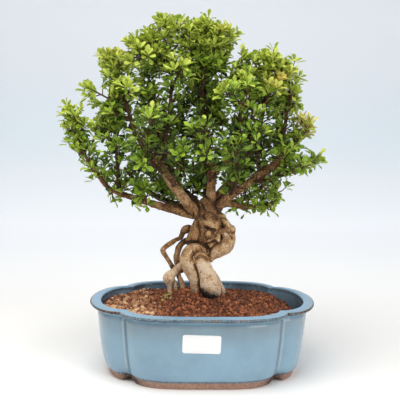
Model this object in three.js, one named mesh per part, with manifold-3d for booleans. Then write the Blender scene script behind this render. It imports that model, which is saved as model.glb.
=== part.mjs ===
// A korean barberry bonsai in its four-lobed blue glazed pot, with the soil, the two drain screens and
// a blank label. Millimetres, +Z up, the pot's long side along X, its front towards -Y.
// Everything is modelled about the middle of the pot's foot. The finished group is then moved so that
// its origin is the middle of the underside of the whole object's box.
import * as THREE from "three";
import { mergeVertices } from "three/addons/utils/BufferGeometryUtils.js";
import Module from "manifold-3d";

// Pot: the plan has two wide lobes, front and back, and two narrow ones at the ends.
const RIM_HALF_WIDTH = 122.5;
const RIM_HALF_DEPTH = 91.5;
const NOTCH_X = 87;
const NOTCH_Y = 61;
const END_LOBE_POWER = 0.97;
const WIDE_LOBE_WIDTH_POWER = 0.49;
const WIDE_LOBE_DEPTH_POWER = 1.35;
const WIDE_LOBE_STEPS = 12;
const END_LOBE_STEPS = 8;
const POT_HEIGHT = 80;
const FLOOR_UNDERSIDE = 7;
const FLOOR_TOP = 13;
const DRAIN_HOLE_X = 50;
const DRAIN_HOLE_RADIUS = 9;
const DRAIN_HOLE_SIDES = 20;
const FOOT_ARCH_X = 80;
const FOOT_ARCH_Y = 45.5;
const FOOT_ARCH_TURN = THREE.MathUtils.degToRad(14);
const FOOT_ARCH_WIDTH = 13;
const FOOT_ARCH_HEIGHT = 4.5;
const FOOT_ARCH_DEPTH = 38;

// The pot's section, from under the floor, round the foot, up the wall, over the rim and down inside.
// Each point is [inset from the rim's outer edge, height].
const POT_SECTION = [
  [33, FLOOR_UNDERSIDE],
  [31, 0],
  [21.5, 0],
  [19.6, 6.4],
  [16.5, 12],
  [14.3, 22],
  [11.8, 40],
  [9, 71],
  [10, 72.1],
  [8.4, 73],
  [3.6, 74.4],
  [0.8, 76.4],
  [0, 77.6],
  [0.3, 78.5],
  [1.6, 79.1],
  [10.4, POT_HEIGHT],
  [12, 79],
  [13, 70],
  [18, 28],
  [26, FLOOR_TOP],
];
// Places in that list of the ends of the outer and inner walls.
const OUTER_WALL_FOOT = 3;
const OUTER_WALL_TOP = 7;
const INNER_WALL_TOP = 16;
const INNER_WALL_FOOT = 19;

// Soil: a mound round the roots, lower at the right-hand end, where the inner wall shows.
const FIT_GAP = 0.35;
const SOIL_EDGE_HEIGHT = 70.5;
const SOIL_MOUND_HEIGHT = 14;
const SOIL_MOUND_X = -3;
const SOIL_MOUND_Y = 14;
const SOIL_MOUND_HALF_WIDTH = 38;
const SOIL_MOUND_HALF_DEPTH = 28;
const SOIL_END_DROP = 9;
const SOIL_FALL_START_X = 78;
const SOIL_FALL_END_X = 108;
// Smaller heaps against the roots: [x, y, height, how far it spreads].
const SOIL_HEAPS = [
  [-21, -4, 6.5, 13],
  [27, -3, 4.5, 9],
];
const GRAIN_RELIEF = 1.3;
const SOIL_WALL_BEND = 28;
const SOIL_RINGS = 8;

// Drain screens: square plastic meshes that lie on the floor over the two holes.
const SCREEN_SIDE = 28;
const SCREEN_THICKNESS = 1.2;
const SCREEN_HOLES = 3;
const SCREEN_HOLE_SIDE = 5.5;

// Label: a blank sticker with rounded corners on the front wall.
const LABEL_WIDTH = 39;
const LABEL_HEIGHT = 19.5;
const LABEL_CORNER = 2.5;
const LABEL_THICKNESS = 0.6;
const LABEL_X = -2.6;
const LABEL_MIDDLE_HEIGHT = 51.5;
const LABEL_TURN = THREE.MathUtils.degToRad(-1.5);

// Leafy stems: square stems with spoon-shaped leaves in pairs, each pair turned by a quarter, and one
// leaf at the end. The leaves are larger than life, as there are fewer than on the living tree.
const LEAF_LENGTH = 20;
const LEAF_WIDTH = 12.5;
const LEAF_THICKNESS = 1.4;
const LEAF_BEND = 0.12;
const LEAF_GUARD = 0.5;
const LEAF_TRIES = 7;
const STEM_PAIRS = 3;
const FORK_PAIRS = 2;
const LEAFY_SHARE = 0.66;
const PAIR_HEIGHT = 1.8;
const TIP_OPENING = 0.65;
const LOW_OPENING = 1.15;
const BASE_STEM_RADIUS = 1.5;
const TIP_STEM_RADIUS = 1.1;
const STEM_BOWS = 12;
const FIRST_BOW = 0.1;
const EACH_BOW = 0.04;
const LEAF_BEYOND_STEM = 14;

// Where a stem springs from the wood: the nearest place, and these lengths count as so much further
// for a place that is too high, close to another stem's foot, or on a thick limb.
const STEM_RISE = 0.45;
const HIGH_FOOT_COST = 1.2;
const FOOT_SPACING = 9;
const CLOSE_FOOT_COST = 40;
const THICK_LIMB_RADIUS = 4.5;
const THICK_LIMB_COST = 30;

// A direction that no run of wood or stem follows: the first ring of each is turned by it.
const FIRST_NORMAL = new THREE.Vector3(0.31, 0.87, 0.22);

// Runs of wood have this many sides, by the radius they start with.
const TRUNK_SIDES = 9;
const THICK_RUN = [6, 8];
const MIDDLE_RUN = [3, 5];
const THIN_RUN_SIDES = 4;

// A leaf is drawn out of a four-sided span, points 0 to 3. Points 4 to 7 go round it where it is
// widest: underside, right, top and left. Points 8 and 9 are the right and left of its blunt end.
const LEAF_FACES = [
  [0, 1, 4],
  [1, 5, 4],
  [1, 2, 5],
  [2, 6, 5],
  [2, 3, 6],
  [3, 7, 6],
  [3, 0, 7],
  [0, 4, 7],
  [4, 5, 8],
  [4, 8, 9],
  [4, 9, 7],
  [6, 8, 5],
  [6, 9, 8],
  [6, 7, 9],
];
const LEAF_BACK = [
  [0, 3, 2],
  [0, 2, 1],
];

// Trunk: folded wood with knobs. Each run is a list of points [x, y, z, radius].
const TRUNK = [
  // The core, from the fork of the limbs down to the crotch of the two root legs.
  [
    [4.2, 12, 180.2, 10.4], [4.9, 12, 172.5, 13.4], [5.5, 12, 163.6, 15], [5.7, 12, 154.7, 16.5],
    [4.7, 13, 145.7, 16], [3.8, 14, 137.7, 13.3], [5, 15, 130.8, 8.9],
  ],
  // The slab at the left of the core.
  [[-3.3, 8, 160.7, 7.7], [-6.6, 6, 153.2, 8.3], [-10.3, 6, 146.6, 7.2], [-14, 8, 141.3, 5.3]],
  // The fold that hangs out at the right and turns back under the core.
  [
    [18.1, 12, 168.2, 5.1], [22.6, 11, 163.9, 4.8], [26.9, 9, 157.6, 4.6], [28.3, 8, 150, 7],
    [27.7, 8, 142.2, 8.6], [23.9, 7, 135.7, 8.9], [16.8, 6, 131.8, 8.2], [11.4, 6, 126.8, 5.8],
  ],
];

// Knobs on the trunk: [x, y, z, radius].
const KNOBS = [
  [6.6, 0, 168.3, 3.6],
  [7, -1, 163.2, 3.8],
  [14.8, 1, 162.6, 4.2],
  [5.7, -2.5, 151.4, 4.6],
  [24.2, 2, 151.2, 5],
  [16.1, -1, 145.5, 2.6],
  [32.9, 8, 155.4, 3.2],
  [21.2, 8, 169.6, 4],
];

// Roots: each run ends well under the soil.
const ROOTS = [
  // Left leg, which arches out of the trunk over the top of the right leg.
  [
    [4.7, 6, 130.1, 5], [-4.2, 1, 133.5, 6.1], [-12.4, -2, 133.5, 6.8], [-17.3, -3, 127.6, 7],
    [-17.4, -3, 120.4, 7.4], [-13.9, -2, 113, 7.4], [-10.2, -1, 106, 7.3], [-7.9, 0, 98.9, 6],
    [-7.6, 2, 87.8, 5.2], [-7.2, 3, 70, 4.5],
  ],
  // Right leg, the thickest.
  [
    [-4.7, -1, 125.1, 5.6], [-1.2, -2, 120.9, 8.4], [1.6, -3, 115.1, 8.8], [4.3, -4, 108.7, 9],
    [6.8, -5, 102.3, 10], [8.4, -5, 94.5, 11.2], [8.6, -4, 86.6, 11.6], [9.7, -2, 70, 9.3],
  ],
  // Thin root that is grown to the right leg's side.
  [[12.2, 2, 107.4, 2.8], [15.8, 1, 100.2, 3.4], [19.8, 1, 91.9, 3.6], [23.5, 2, 84, 3.2], [27, 4, 70, 2.6]],
  // Knotted root that stands out at the left and comes back in a sharp bend.
  [
    [-10.8, 12, 152.4, 4.4], [-20.1, 12, 152.7, 4.3], [-25, 12, 144.4, 3], [-37.1, 12, 137.2, 2.6],
    [-43.6, 10, 130.8, 2.8], [-40.2, 12, 122.9, 2.5], [-31.3, 14, 108.8, 2.7],
  ],
  // Upright root between the knotted one and the left leg.
  [
    [-15.1, 13, 141, 3.8], [-21.7, 14, 138.6, 3.5], [-26.2, 15, 132.8, 3.4], [-27.9, 15, 126, 3.4],
    [-28.3, 15, 119.3, 3.5], [-26.7, 14, 112.8, 3.4], [-23, 12, 107.6, 3.1],
  ],
  // Swollen root at the far left.
  [
    [-18, 3, 119.5, 4], [-27.7, 7, 110.7, 4.2], [-32.3, 6, 105.7, 4.8], [-37.1, 5, 100.5, 6.5],
    [-37.5, 5, 97.1, 4.6], [-36, 7, 91.6, 2.6], [-35.3, 8, 70, 2.4],
  ],
  // Two short thin roots under the swollen one.
  [[-32.2, 8, 98.2, 2.4], [-29.5, 8, 90, 2.8], [-29.8, 8, 70, 2.4]],
  [[-25.6, 11, 108.5, 3], [-26.2, 10, 102.3, 2.8], [-22.6, 9, 93.5, 3.3], [-21.4, 9, 70, 2.9]],
];

// Limbs and branches, from the fork outwards.
const LIMBS = [
  // Low limb at the left.
  [
    [-5.6, 12, 172.4, 8.2], [-17.1, 10, 172.9, 6.1], [-27.6, 9, 174.9, 5.1], [-45.1, 8, 179.5, 4.2],
    [-69, 7, 187, 3.6], [-91, 10, 193, 2.9], [-105, 12, 200, 2.5], [-115, 12, 212, 2.2],
    [-135, 14, 243, 1.5],
  ],
  // Left limb that ends in a pale broken stub.
  [
    [-5.6, 10, 171.5, 7.4], [-14, 6, 179.6, 6.6], [-23.4, 3, 191.8, 5.8], [-31.6, 1, 201.7, 5.4],
    [-39.9, 0, 213.6, 5.2], [-48, 0, 225.9, 4.9], [-52.9, 0, 233.9, 4.6],
  ],
  // Upright limb in the middle, with its side stub.
  [
    [6, 12, 172.5, 11], [8, 12, 181.4, 7.6], [9, 12, 197.9, 5.4], [8.8, 12, 208.9, 4.8],
    [8.2, 13, 223.1, 4.6],
  ],
  [[9.1, 12, 216.6, 4.2], [18.7, 8, 224.1, 3.8], [29.2, 5, 230.9, 3.5]],
  // Right limb that ends in a cut.
  [
    [10.9, 12, 173.7, 8.2], [19.9, 9, 183.5, 5.6], [30.6, 7, 193.1, 4.8], [45, 5, 203.9, 4.6],
    [72.9, 5, 223.7, 4.6], [85.9, 6, 232.7, 4.6],
  ],
  // Low limb at the right, and one that rises to the right behind the middle.
  [
    [12, 16, 174, 5.5], [21, 20, 181, 3.5], [32, 22, 181, 3.1], [47, 22, 178, 2.8],
    [61, 20, 179, 2.2], [76, 18, 183, 1.7],
  ],
  [[12, 14, 185, 5], [21, 22, 197, 4.2], [39, 34, 217, 3.4], [48, 40, 230, 2.7]],
  // Branches of the low left limb and of the left limb.
  [[-93, 10, 193, 2.3], [-93, 5, 210, 2.1], [-94, 4, 230, 1.9], [-97, 6, 262, 1.5]],
  [
    [-52, 0, 232, 3], [-64, -2, 242, 2.6], [-71, -4, 254, 2.3], [-77, -4, 268, 2.1],
    [-85, -3, 295, 1.7], [-90, 0, 315, 1.4],
  ],
  [
    [-48, 1, 224, 2.6], [-44, 7, 248, 2.3], [-38, 10, 279, 2.1], [-36, 12, 308, 1.8],
    [-35, 12, 336, 1.5],
  ],
  [[-53, 1, 232, 2.4], [-51, 14, 252, 2.1], [-53, 20, 275, 2], [-63, 22, 308, 1.5]],
  // Branches of the middle limb.
  [[7, 12, 222, 3.5], [6, 14, 242, 2.8], [1, 17, 268, 2.3], [-2, 17, 300, 1.9], [-3, 15, 337, 1.4]],
  [[6, 13, 222, 3.1], [-4, 32, 244, 2.6], [-19, 44, 266, 2], [-25, 48, 283, 1.7]],
  [[28, 6, 232, 2.6], [36, 1, 256, 2.1], [38, -2, 287, 1.7], [39, -4, 309, 1.4]],
  // Branches of the right limb.
  [[61, 5, 218, 2.6], [57, 3, 240, 2.2], [61, 4, 270, 1.8], [68, 6, 307, 1.4]],
  [[82, 6, 232, 2.7], [86, 11, 253, 2.2], [90, 15, 283, 1.8], [93, 16, 310, 1.4]],
  [[80, 6, 231, 2.4], [93, 4, 244, 1.9], [102, 4, 255, 1.5]],
  [[43, 6, 204, 2.6], [44, -12, 222, 2.1], [45, -28, 244, 1.9], [48, -34, 288, 1.3]],
  [[50, 5, 209, 2.4], [65, -2, 210, 1.9], [93, -2, 219, 1.5], [107, 2, 225, 1.3]],
  // Branches that come forward.
  [[-33, 1, 202, 2.6], [-31, -22, 215, 2.1], [-28, -42, 228, 1.8], [-26, -56, 244, 1.5]],
  [[7, 10, 208, 2.7], [4, -16, 220, 2.1], [2, -40, 234, 1.9], [1, -58, 250, 1.4]],
  [[30, 6, 194, 2.6], [33, -18, 205, 2.1], [33, -38, 219, 1.8], [33, -54, 237, 1.4]],
  [[-43, 0, 217, 2.4], [-52, -22, 226, 1.9], [-60, -38, 238, 1.6], [-65, -46, 253, 1.3]],
  // Limbs that go back.
  [
    [-3, 18, 179, 5.5], [-14, 42, 188, 4.1], [-28, 62, 200, 3.5], [-40, 78, 217, 2.8],
    [-47, 88, 238, 2.1],
  ],
  [[9, 18, 179, 5.5], [22, 44, 188, 3.9], [37, 68, 200, 3.3], [47, 82, 218, 2.6], [53, 90, 239, 1.9]],
  [[4, 18, 186, 5.5], [4, 44, 197, 3.9], [4, 66, 212, 3.2], [3, 84, 231, 2.6], [2, 94, 255, 1.9]],
  [
    [-10, 16, 173, 4.4], [-34, 34, 180, 3.4], [-55, 50, 187, 3], [-74, 60, 199, 2.5],
    [-90, 66, 217, 1.8],
  ],
  [[24, 22, 180, 3.3], [50, 44, 186, 2.7], [69, 56, 197, 2.4], [85, 64, 213, 2], [97, 68, 231, 1.5]],
];

// Where the leaves of each stem reach. A stem with two places forks half-way.
const LEAFY_ENDS = [
  // Outline of the crown, from the left over the top to the right.
  [[-86, -8, 173]],
  [[-106, 12, 188]],
  [[-122, 22, 207]],
  [[-147, 6, 242], [-138, 20, 225]],
  [[-145, 12, 289], [-157, 20, 265]],
  [[-128, 7, 309]],
  [[-109, 12, 352], [-115, 24, 329]],
  [[-82, 22, 362], [-89, -4, 338]],
  [[-64, 14, 377]],
  [[-44, 6, 386]],
  [[-21, 18, 386]],
  [[-3, 12, 387]],
  [[17, 4, 382]],
  [[33, 17, 375], [39, 16, 348]],
  [[74, 18, 352], [60, 4, 350]],
  [[94, 12, 338], [105, 24, 328]],
  [[103, 4, 310], [103, 20, 289]],
  [[118, 12, 271]],
  [[107, 4, 254]],
  [[135, 12, 236]],
  [[112, 18, 219], [91, 12, 202]],
  [[84, 20, 185], [65, 12, 175]],
  // Front of the crown.
  [[-80, -30, 314]],
  [[-46, -54, 292]],
  [[-13, -68, 279]],
  [[6, -46, 312]],
  [[-23, -30, 338]],
  [[42, -34, 326]],
  [[74, -24, 317]],
  [[57, -52, 267]],
  [[82, -32, 249]],
  [[29, -68, 263], [18, -72, 238]],
  [[-1, -82, 248]],
  [[-28, -72, 241]],
  [[-69, -50, 235]],
  [[-93, -28, 253]],
  [[-67, -32, 209]],
  [[52, -32, 202]],
  // Back of the crown.
  [[-98, 64, 304], [-113, 62, 259]],
  [[-61, 64, 339]],
  [[-27, 56, 359]],
  [[13, 62, 360]],
  [[53, 64, 329]],
  [[85, 60, 302]],
  [[-44, 96, 287]],
  [[-1, 98, 307]],
  [[40, 96, 283]],
  [[-76, 94, 247], [-91, 72, 208]],
  [[-24, 110, 237], [-49, 90, 192]],
  [[25, 110, 235], [44, 92, 191]],
  [[70, 90, 236]],
  [[103, 62, 243]],
];

const GLAZE = new THREE.MeshStandardMaterial({ color: "#86aec6", roughness: 0.22, metalness: 0 });
const SOIL_GRAIN = new THREE.MeshStandardMaterial({ color: "#8a4f38", roughness: 0.95, metalness: 0 });
const BARK = new THREE.MeshStandardMaterial({ color: "#9b7653", roughness: 0.85, metalness: 0 });
const LEAF = new THREE.MeshStandardMaterial({ color: "#5f8b2c", roughness: 0.5, metalness: 0 });
const STICKER = new THREE.MeshStandardMaterial({ color: "#f4f4f2", roughness: 0.6, metalness: 0 });
const SCREEN_PLASTIC = new THREE.MeshStandardMaterial({ color: "#23282a", roughness: 0.6, metalness: 0 });

const wasm = await Module();
wasm.setup();

// A repeatable number from 0 to 1 for each pair of whole numbers.
function chance(i, j) {
  const wave = Math.sin(i * 12.9898 + j * 78.233) * 43758.5453;
  return wave - Math.floor(wave);
}

function vectorOf(point) {
  return new THREE.Vector3(point[0], point[1], point[2]);
}

// A closed geometry as a solid that can be joined and cut.
function solidOf(geometry) {
  const bare = geometry.index ? geometry.toNonIndexed() : geometry.clone();
  bare.deleteAttribute("normal");
  bare.deleteAttribute("uv");
  const merged = mergeVertices(bare, 1e-4);
  return new wasm.Manifold(
    new wasm.Mesh({
      numProp: 3,
      vertProperties: merged.attributes.position.array,
      triVerts: new Uint32Array(merged.index.array),
    }),
  );
}

// A solid as a geometry with one normal for each face.
function geometryOf(solid) {
  const mesh = solid.getMesh();
  const positions = new Float32Array(mesh.numVert * 3);
  for (let i = 0; i < mesh.numVert; i++) {
    positions.set(mesh.vertProperties.subarray(i * mesh.numProp, i * mesh.numProp + 3), i * 3);
  }
  const shared = new THREE.BufferGeometry();
  shared.setAttribute("position", new THREE.BufferAttribute(positions, 3));
  shared.setIndex(new THREE.BufferAttribute(mesh.triVerts, 1));
  const geometry = shared.toNonIndexed();
  geometry.computeVertexNormals();
  return geometry;
}

function joined(solids) {
  return solids.reduce((whole, piece) => whole.add(piece));
}

// A closed geometry from points and triangles of their numbers.
function facetedGeometry(points, faces) {
  const geometry = new THREE.BufferGeometry();
  const numbers = points.flatMap((p) => p.toArray());
  geometry.setAttribute("position", new THREE.Float32BufferAttribute(numbers, 3));
  geometry.setIndex(faces);
  return geometry;
}

// A skin over rings with the same number of points, each end closed by a fan round its middle.
function loft(rings) {
  const sides = rings[0].length;
  const points = rings.flat();
  const faces = [];
  for (let k = 0; k < rings.length - 1; k++) {
    for (let i = 0; i < sides; i++) {
      const a = k * sides + i;
      const b = k * sides + ((i + 1) % sides);
      faces.push(a, b, b + sides, a, b + sides, a + sides);
    }
  }
  for (const [ring, first, inwards] of [
    [rings[0], 0, true],
    [rings.at(-1), (rings.length - 1) * sides, false],
  ]) {
    const middle = new THREE.Vector3();
    ring.forEach((p) => middle.add(p));
    points.push(middle.divideScalar(sides));
    for (let i = 0; i < sides; i++) {
      const a = first + i;
      const b = first + ((i + 1) % sides);
      faces.push(points.length - 1, inwards ? b : a, inwards ? a : b);
    }
  }
  return facetedGeometry(points, faces);
}

// The pot's plan at the rim, one turn against the clock from the right front notch. An end lobe bulges
// out between two notches as a power of a cosine, and a wide lobe is half of a superellipse.
function potPlan() {
  const plan = [];
  for (const side of [1, -1]) {
    for (let i = 0; i < END_LOBE_STEPS; i++) {
      const turn = (i / END_LOBE_STEPS - 0.5) * Math.PI;
      const bulge = (RIM_HALF_WIDTH - NOTCH_X) * Math.abs(Math.cos(turn)) ** END_LOBE_POWER;
      plan.push(new THREE.Vector2(side * (NOTCH_X + bulge), side * NOTCH_Y * Math.sin(turn)));
    }
    for (let i = 0; i < WIDE_LOBE_STEPS; i++) {
      const turn = (i / WIDE_LOBE_STEPS) * Math.PI;
      const along = Math.sign(Math.cos(turn)) * Math.abs(Math.cos(turn)) ** WIDE_LOBE_WIDTH_POWER;
      const bulge = (RIM_HALF_DEPTH - NOTCH_Y) * Math.sin(turn) ** WIDE_LOBE_DEPTH_POWER;
      plan.push(new THREE.Vector2(side * NOTCH_X * along, side * (NOTCH_Y + bulge)));
    }
  }
  return plan;
}

const PLAN = potPlan();

// A point of the plan drawn in by an inset, at a height.
function planPoint(p, inset, height) {
  const x = (p.x * (RIM_HALF_WIDTH - inset)) / RIM_HALF_WIDTH;
  const y = (p.y * (RIM_HALF_DEPTH - inset)) / RIM_HALF_DEPTH;
  return new THREE.Vector3(x, y, height);
}

function planRing(inset, height) {
  return PLAN.map((p) => planPoint(p, inset, height));
}

// The inset of the pot's wall at a height, between two points of its section.
function wallInset(firstPoint, lastPoint, height) {
  const run = POT_SECTION.slice(firstPoint, lastPoint + 1);
  for (let i = 0; i < run.length - 1; i++) {
    const [inset, z] = run[i];
    const [nextInset, nextZ] = run[i + 1];
    const share = (height - z) / (nextZ - z);
    if (share >= 0 && share <= 1) return inset + share * (nextInset - inset);
  }
  return run.at(-1)[0];
}

function makePot() {
  let pot = solidOf(loft(POT_SECTION.map(([inset, height]) => planRing(inset, height))));
  for (const side of [-1, 1]) {
    const drain = new THREE.CylinderGeometry(
      DRAIN_HOLE_RADIUS,
      DRAIN_HOLE_RADIUS,
      4 * FLOOR_TOP,
      DRAIN_HOLE_SIDES,
    );
    drain.rotateX(Math.PI / 2);
    drain.translate(side * DRAIN_HOLE_X, 0, FLOOR_TOP);
    pot = pot.subtract(solidOf(drain));
    pot = pot.subtract(solidOf(footArch(side, 1)));
    pot = pot.subtract(solidOf(footArch(side, -1)));
  }
  return pot;
}

// A low arch through the foot beside one notch, under the end lobe.
function footArch(sideX, sideY) {
  const half = FOOT_ARCH_WIDTH / 2;
  const arch = new THREE.Shape();
  arch.moveTo(-half, -1);
  arch.lineTo(half, -1);
  arch.lineTo(half, 0);
  arch.quadraticCurveTo(half * 0.7, FOOT_ARCH_HEIGHT, 0, FOOT_ARCH_HEIGHT);
  arch.quadraticCurveTo(-half * 0.7, FOOT_ARCH_HEIGHT, -half, 0);
  const cutter = new THREE.ExtrudeGeometry(arch, {
    depth: FOOT_ARCH_DEPTH,
    bevelEnabled: false,
    curveSegments: 4,
  });
  cutter.translate(0, 0, -FOOT_ARCH_DEPTH / 2);
  cutter.rotateX(Math.PI / 2);
  cutter.rotateZ(-sideX * sideY * FOOT_ARCH_TURN);
  cutter.translate(sideX * FOOT_ARCH_X, sideY * FOOT_ARCH_Y, 0);
  return cutter;
}

// The height of the soil: a smooth mound, two heaps, a fall at the right-hand end, and grains by chance.
function soilHeight(x, y, grain) {
  const across = (x - SOIL_MOUND_X) / SOIL_MOUND_HALF_WIDTH;
  const deep = (y - SOIL_MOUND_Y) / SOIL_MOUND_HALF_DEPTH;
  const mound = SOIL_MOUND_HEIGHT * Math.exp(-(across ** 2 + deep ** 2) / 2);
  const heaps = SOIL_HEAPS.map(([heapX, heapY, height, spread]) => {
    return height * Math.exp(-((x - heapX) ** 2 + (y - heapY) ** 2) / (2 * spread ** 2));
  });
  const heaped = heaps.reduce((sum, height) => sum + height, mound);
  const fall = SOIL_END_DROP * THREE.MathUtils.smoothstep(x, SOIL_FALL_START_X, SOIL_FALL_END_X);
  return SOIL_EDGE_HEIGHT + heaped - fall + GRAIN_RELIEF * (grain - 0.5) * 2;
}

function makeSoil(roots) {
  const innerInset = (height) => wallInset(INNER_WALL_TOP, INNER_WALL_FOOT, height);
  const sideRing = (height) => planRing(innerInset(height) + FIT_GAP, height);
  const rings = [sideRing(FLOOR_TOP + FIT_GAP), sideRing(SOIL_WALL_BEND)];
  const edge = PLAN.map((p) => {
    const near = planPoint(p, innerInset(SOIL_EDGE_HEIGHT), 0);
    const height = soilHeight(near.x, near.y, 0.3);
    return planPoint(p, innerInset(height) + FIT_GAP, height);
  });
  for (let k = 0; k < SOIL_RINGS; k++) {
    const share = 1 - k / SOIL_RINGS;
    rings.push(
      edge.map((p, i) => {
        if (k === 0) return p;
        const x = p.x * share;
        const y = p.y * share;
        return new THREE.Vector3(x, y, soilHeight(x, y, chance(i, k)));
      }),
    );
  }
  let soil = solidOf(loft(rings));
  for (const side of [-1, 1]) {
    const seat = SCREEN_SIDE + 2 * FIT_GAP;
    const recess = new THREE.BoxGeometry(seat, seat, 2 * (SCREEN_THICKNESS + 2 * FIT_GAP));
    recess.translate(side * DRAIN_HOLE_X, 0, FLOOR_TOP);
    soil = soil.subtract(solidOf(recess));
  }
  return soil.subtract(roots);
}

// A square plate with rows of square holes, which lies on the floor over a drain hole.
function makeScreen() {
  let screen = solidOf(new THREE.BoxGeometry(SCREEN_SIDE, SCREEN_SIDE, SCREEN_THICKNESS));
  const pitch = SCREEN_SIDE / SCREEN_HOLES;
  for (let i = 0; i < SCREEN_HOLES; i++) {
    for (let j = 0; j < SCREEN_HOLES; j++) {
      const hole = new THREE.BoxGeometry(SCREEN_HOLE_SIDE, SCREEN_HOLE_SIDE, 2 * SCREEN_THICKNESS);
      hole.translate((i + 0.5) * pitch - SCREEN_SIDE / 2, (j + 0.5) * pitch - SCREEN_SIDE / 2, 0);
      screen = screen.subtract(solidOf(hole));
    }
  }
  return screen;
}

function labelGeometry() {
  const w = LABEL_WIDTH / 2;
  const h = LABEL_HEIGHT / 2;
  const r = LABEL_CORNER;
  const outline = new THREE.Shape();
  outline.moveTo(-w + r, -h);
  outline.lineTo(w - r, -h);
  outline.quadraticCurveTo(w, -h, w, -h + r);
  outline.lineTo(w, h - r);
  outline.quadraticCurveTo(w, h, w - r, h);
  outline.lineTo(-w + r, h);
  outline.quadraticCurveTo(-w, h, -w, h - r);
  outline.lineTo(-w, -h + r);
  outline.quadraticCurveTo(-w, -h, -w + r, -h);
  return new THREE.ExtrudeGeometry(outline, {
    depth: LABEL_THICKNESS,
    bevelEnabled: false,
    curveSegments: 3,
  });
}

// A round run of wood along a smooth curve through its points, with its radius blended between them.
// With grow it is that much wider, and longer at both ends.
function woodRun(points, sides, stepsPerSpan, grow = 0) {
  const curve = new THREE.CatmullRomCurve3(points.map(vectorOf), false, "centripetal");
  const spans = points.length - 1;
  const steps = spans * stepsPerSpan;
  const normal = FIRST_NORMAL.clone();
  const rings = [];
  for (let k = 0; k <= steps; k++) {
    const t = k / steps;
    const span = Math.min(Math.floor(t * spans), spans - 1);
    const share = t * spans - span;
    const radius = points[span][3] * (1 - share) + points[span + 1][3] * share + grow;
    const tangent = curve.getTangent(t);
    normal.addScaledVector(tangent, -normal.dot(tangent)).normalize();
    const across = tangent.clone().cross(normal);
    const middle = curve.getPoint(t);
    if (k === 0) middle.addScaledVector(tangent, -grow);
    if (k === steps) middle.addScaledVector(tangent, grow);
    const ring = [];
    for (let i = 0; i < sides; i++) {
      const turn = (i / sides) * 2 * Math.PI;
      ring.push(
        middle
          .clone()
          .addScaledVector(normal, radius * Math.cos(turn))
          .addScaledVector(across, radius * Math.sin(turn)),
      );
    }
    rings.push(ring);
  }
  return solidOf(loft(rings));
}

function knob([x, y, z, radius], grow = 0) {
  const ball = new THREE.OctahedronGeometry(radius + grow, 1);
  ball.translate(x, y, z);
  return solidOf(ball);
}

function sidesOf(run) {
  const match = [THICK_RUN, MIDDLE_RUN].find(([radius]) => run[0][3] > radius);
  return match ? match[1] : THIN_RUN_SIDES;
}

function rootSystem(grow = 0) {
  return joined(ROOTS.map((run) => woodRun(run, sidesOf(run), 1, grow)));
}

function wholeWood(grow = 0) {
  return joined([
    ...TRUNK.map((run) => woodRun(run, TRUNK_SIDES, 1, grow)),
    ...KNOBS.map((at) => knob(at, grow)),
    rootSystem(grow),
    ...LIMBS.map((run) => woodRun(run, sidesOf(run), 1, grow)),
  ]);
}

// The six points of a leaf beyond its foot. Along points out of the stem and upwards to the stem's tip.
function leafPoints(foot, along, upwards, length, extra = 0) {
  const side = upwards.clone().cross(along).normalize();
  const face = along.clone().cross(side).normalize();
  const half = (LEAF_WIDTH * length) / LEAF_LENGTH / 2 + extra;
  const thick = LEAF_THICKNESS / 2 + extra;
  const place = (share, across, lift) =>
    foot
      .clone()
      .addScaledVector(along, share * (length + extra))
      .addScaledVector(side, across * half)
      .addScaledVector(face, lift - LEAF_BEND * length * share * share);
  return [
    place(0.62, 0, -thick),
    place(0.7, 1, 0),
    place(0.62, 0, thick),
    place(0.7, -1, 0),
    place(1, 0.38, 0),
    place(1, -0.38, 0),
  ];
}

// A leaf by itself, closed at its foot, for trying whether its place is free.
function leafAlone(quad, points) {
  return solidOf(facetedGeometry([...quad, ...points], [...LEAF_FACES, ...LEAF_BACK].flat()));
}

// A place for one leaf on a four-sided span, or nothing if every try meets something else.
function placeLeaf(quad, tangent, outwards, open, seed, obstacles, ownStem, ownLeaves) {
  const foot = new THREE.Vector3();
  quad.forEach((p) => foot.addScaledVector(p, 0.25));
  const length = LEAF_LENGTH * (0.88 + 0.24 * chance(seed, 7));
  const upwards = outwards.distanceTo(tangent) < 0.1 ? quad[3].clone().sub(quad[0]).normalize() : tangent;
  for (let attempt = 0; attempt < LEAF_TRIES; attempt++) {
    const tilt = open * (0.85 + 0.3 * chance(seed, attempt));
    const along = tangent.clone().multiplyScalar(Math.cos(tilt)).addScaledVector(outwards, Math.sin(tilt));
    along.applyAxisAngle(tangent, (chance(seed, attempt + 20) - 0.5) * 0.9).normalize();
    const guard = leafAlone(quad, leafPoints(foot, along, upwards, length, LEAF_GUARD));
    const points = leafPoints(foot, along, upwards, length);
    const alone = leafAlone(quad, points);
    if (!isClear(guard, obstacles, [ownStem]) || !isClear(alone, ownLeaves, [])) continue;
    ownLeaves.push({ ...obstacle(alone, ownStem), guard });
    return points;
  }
  return null;
}

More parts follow.
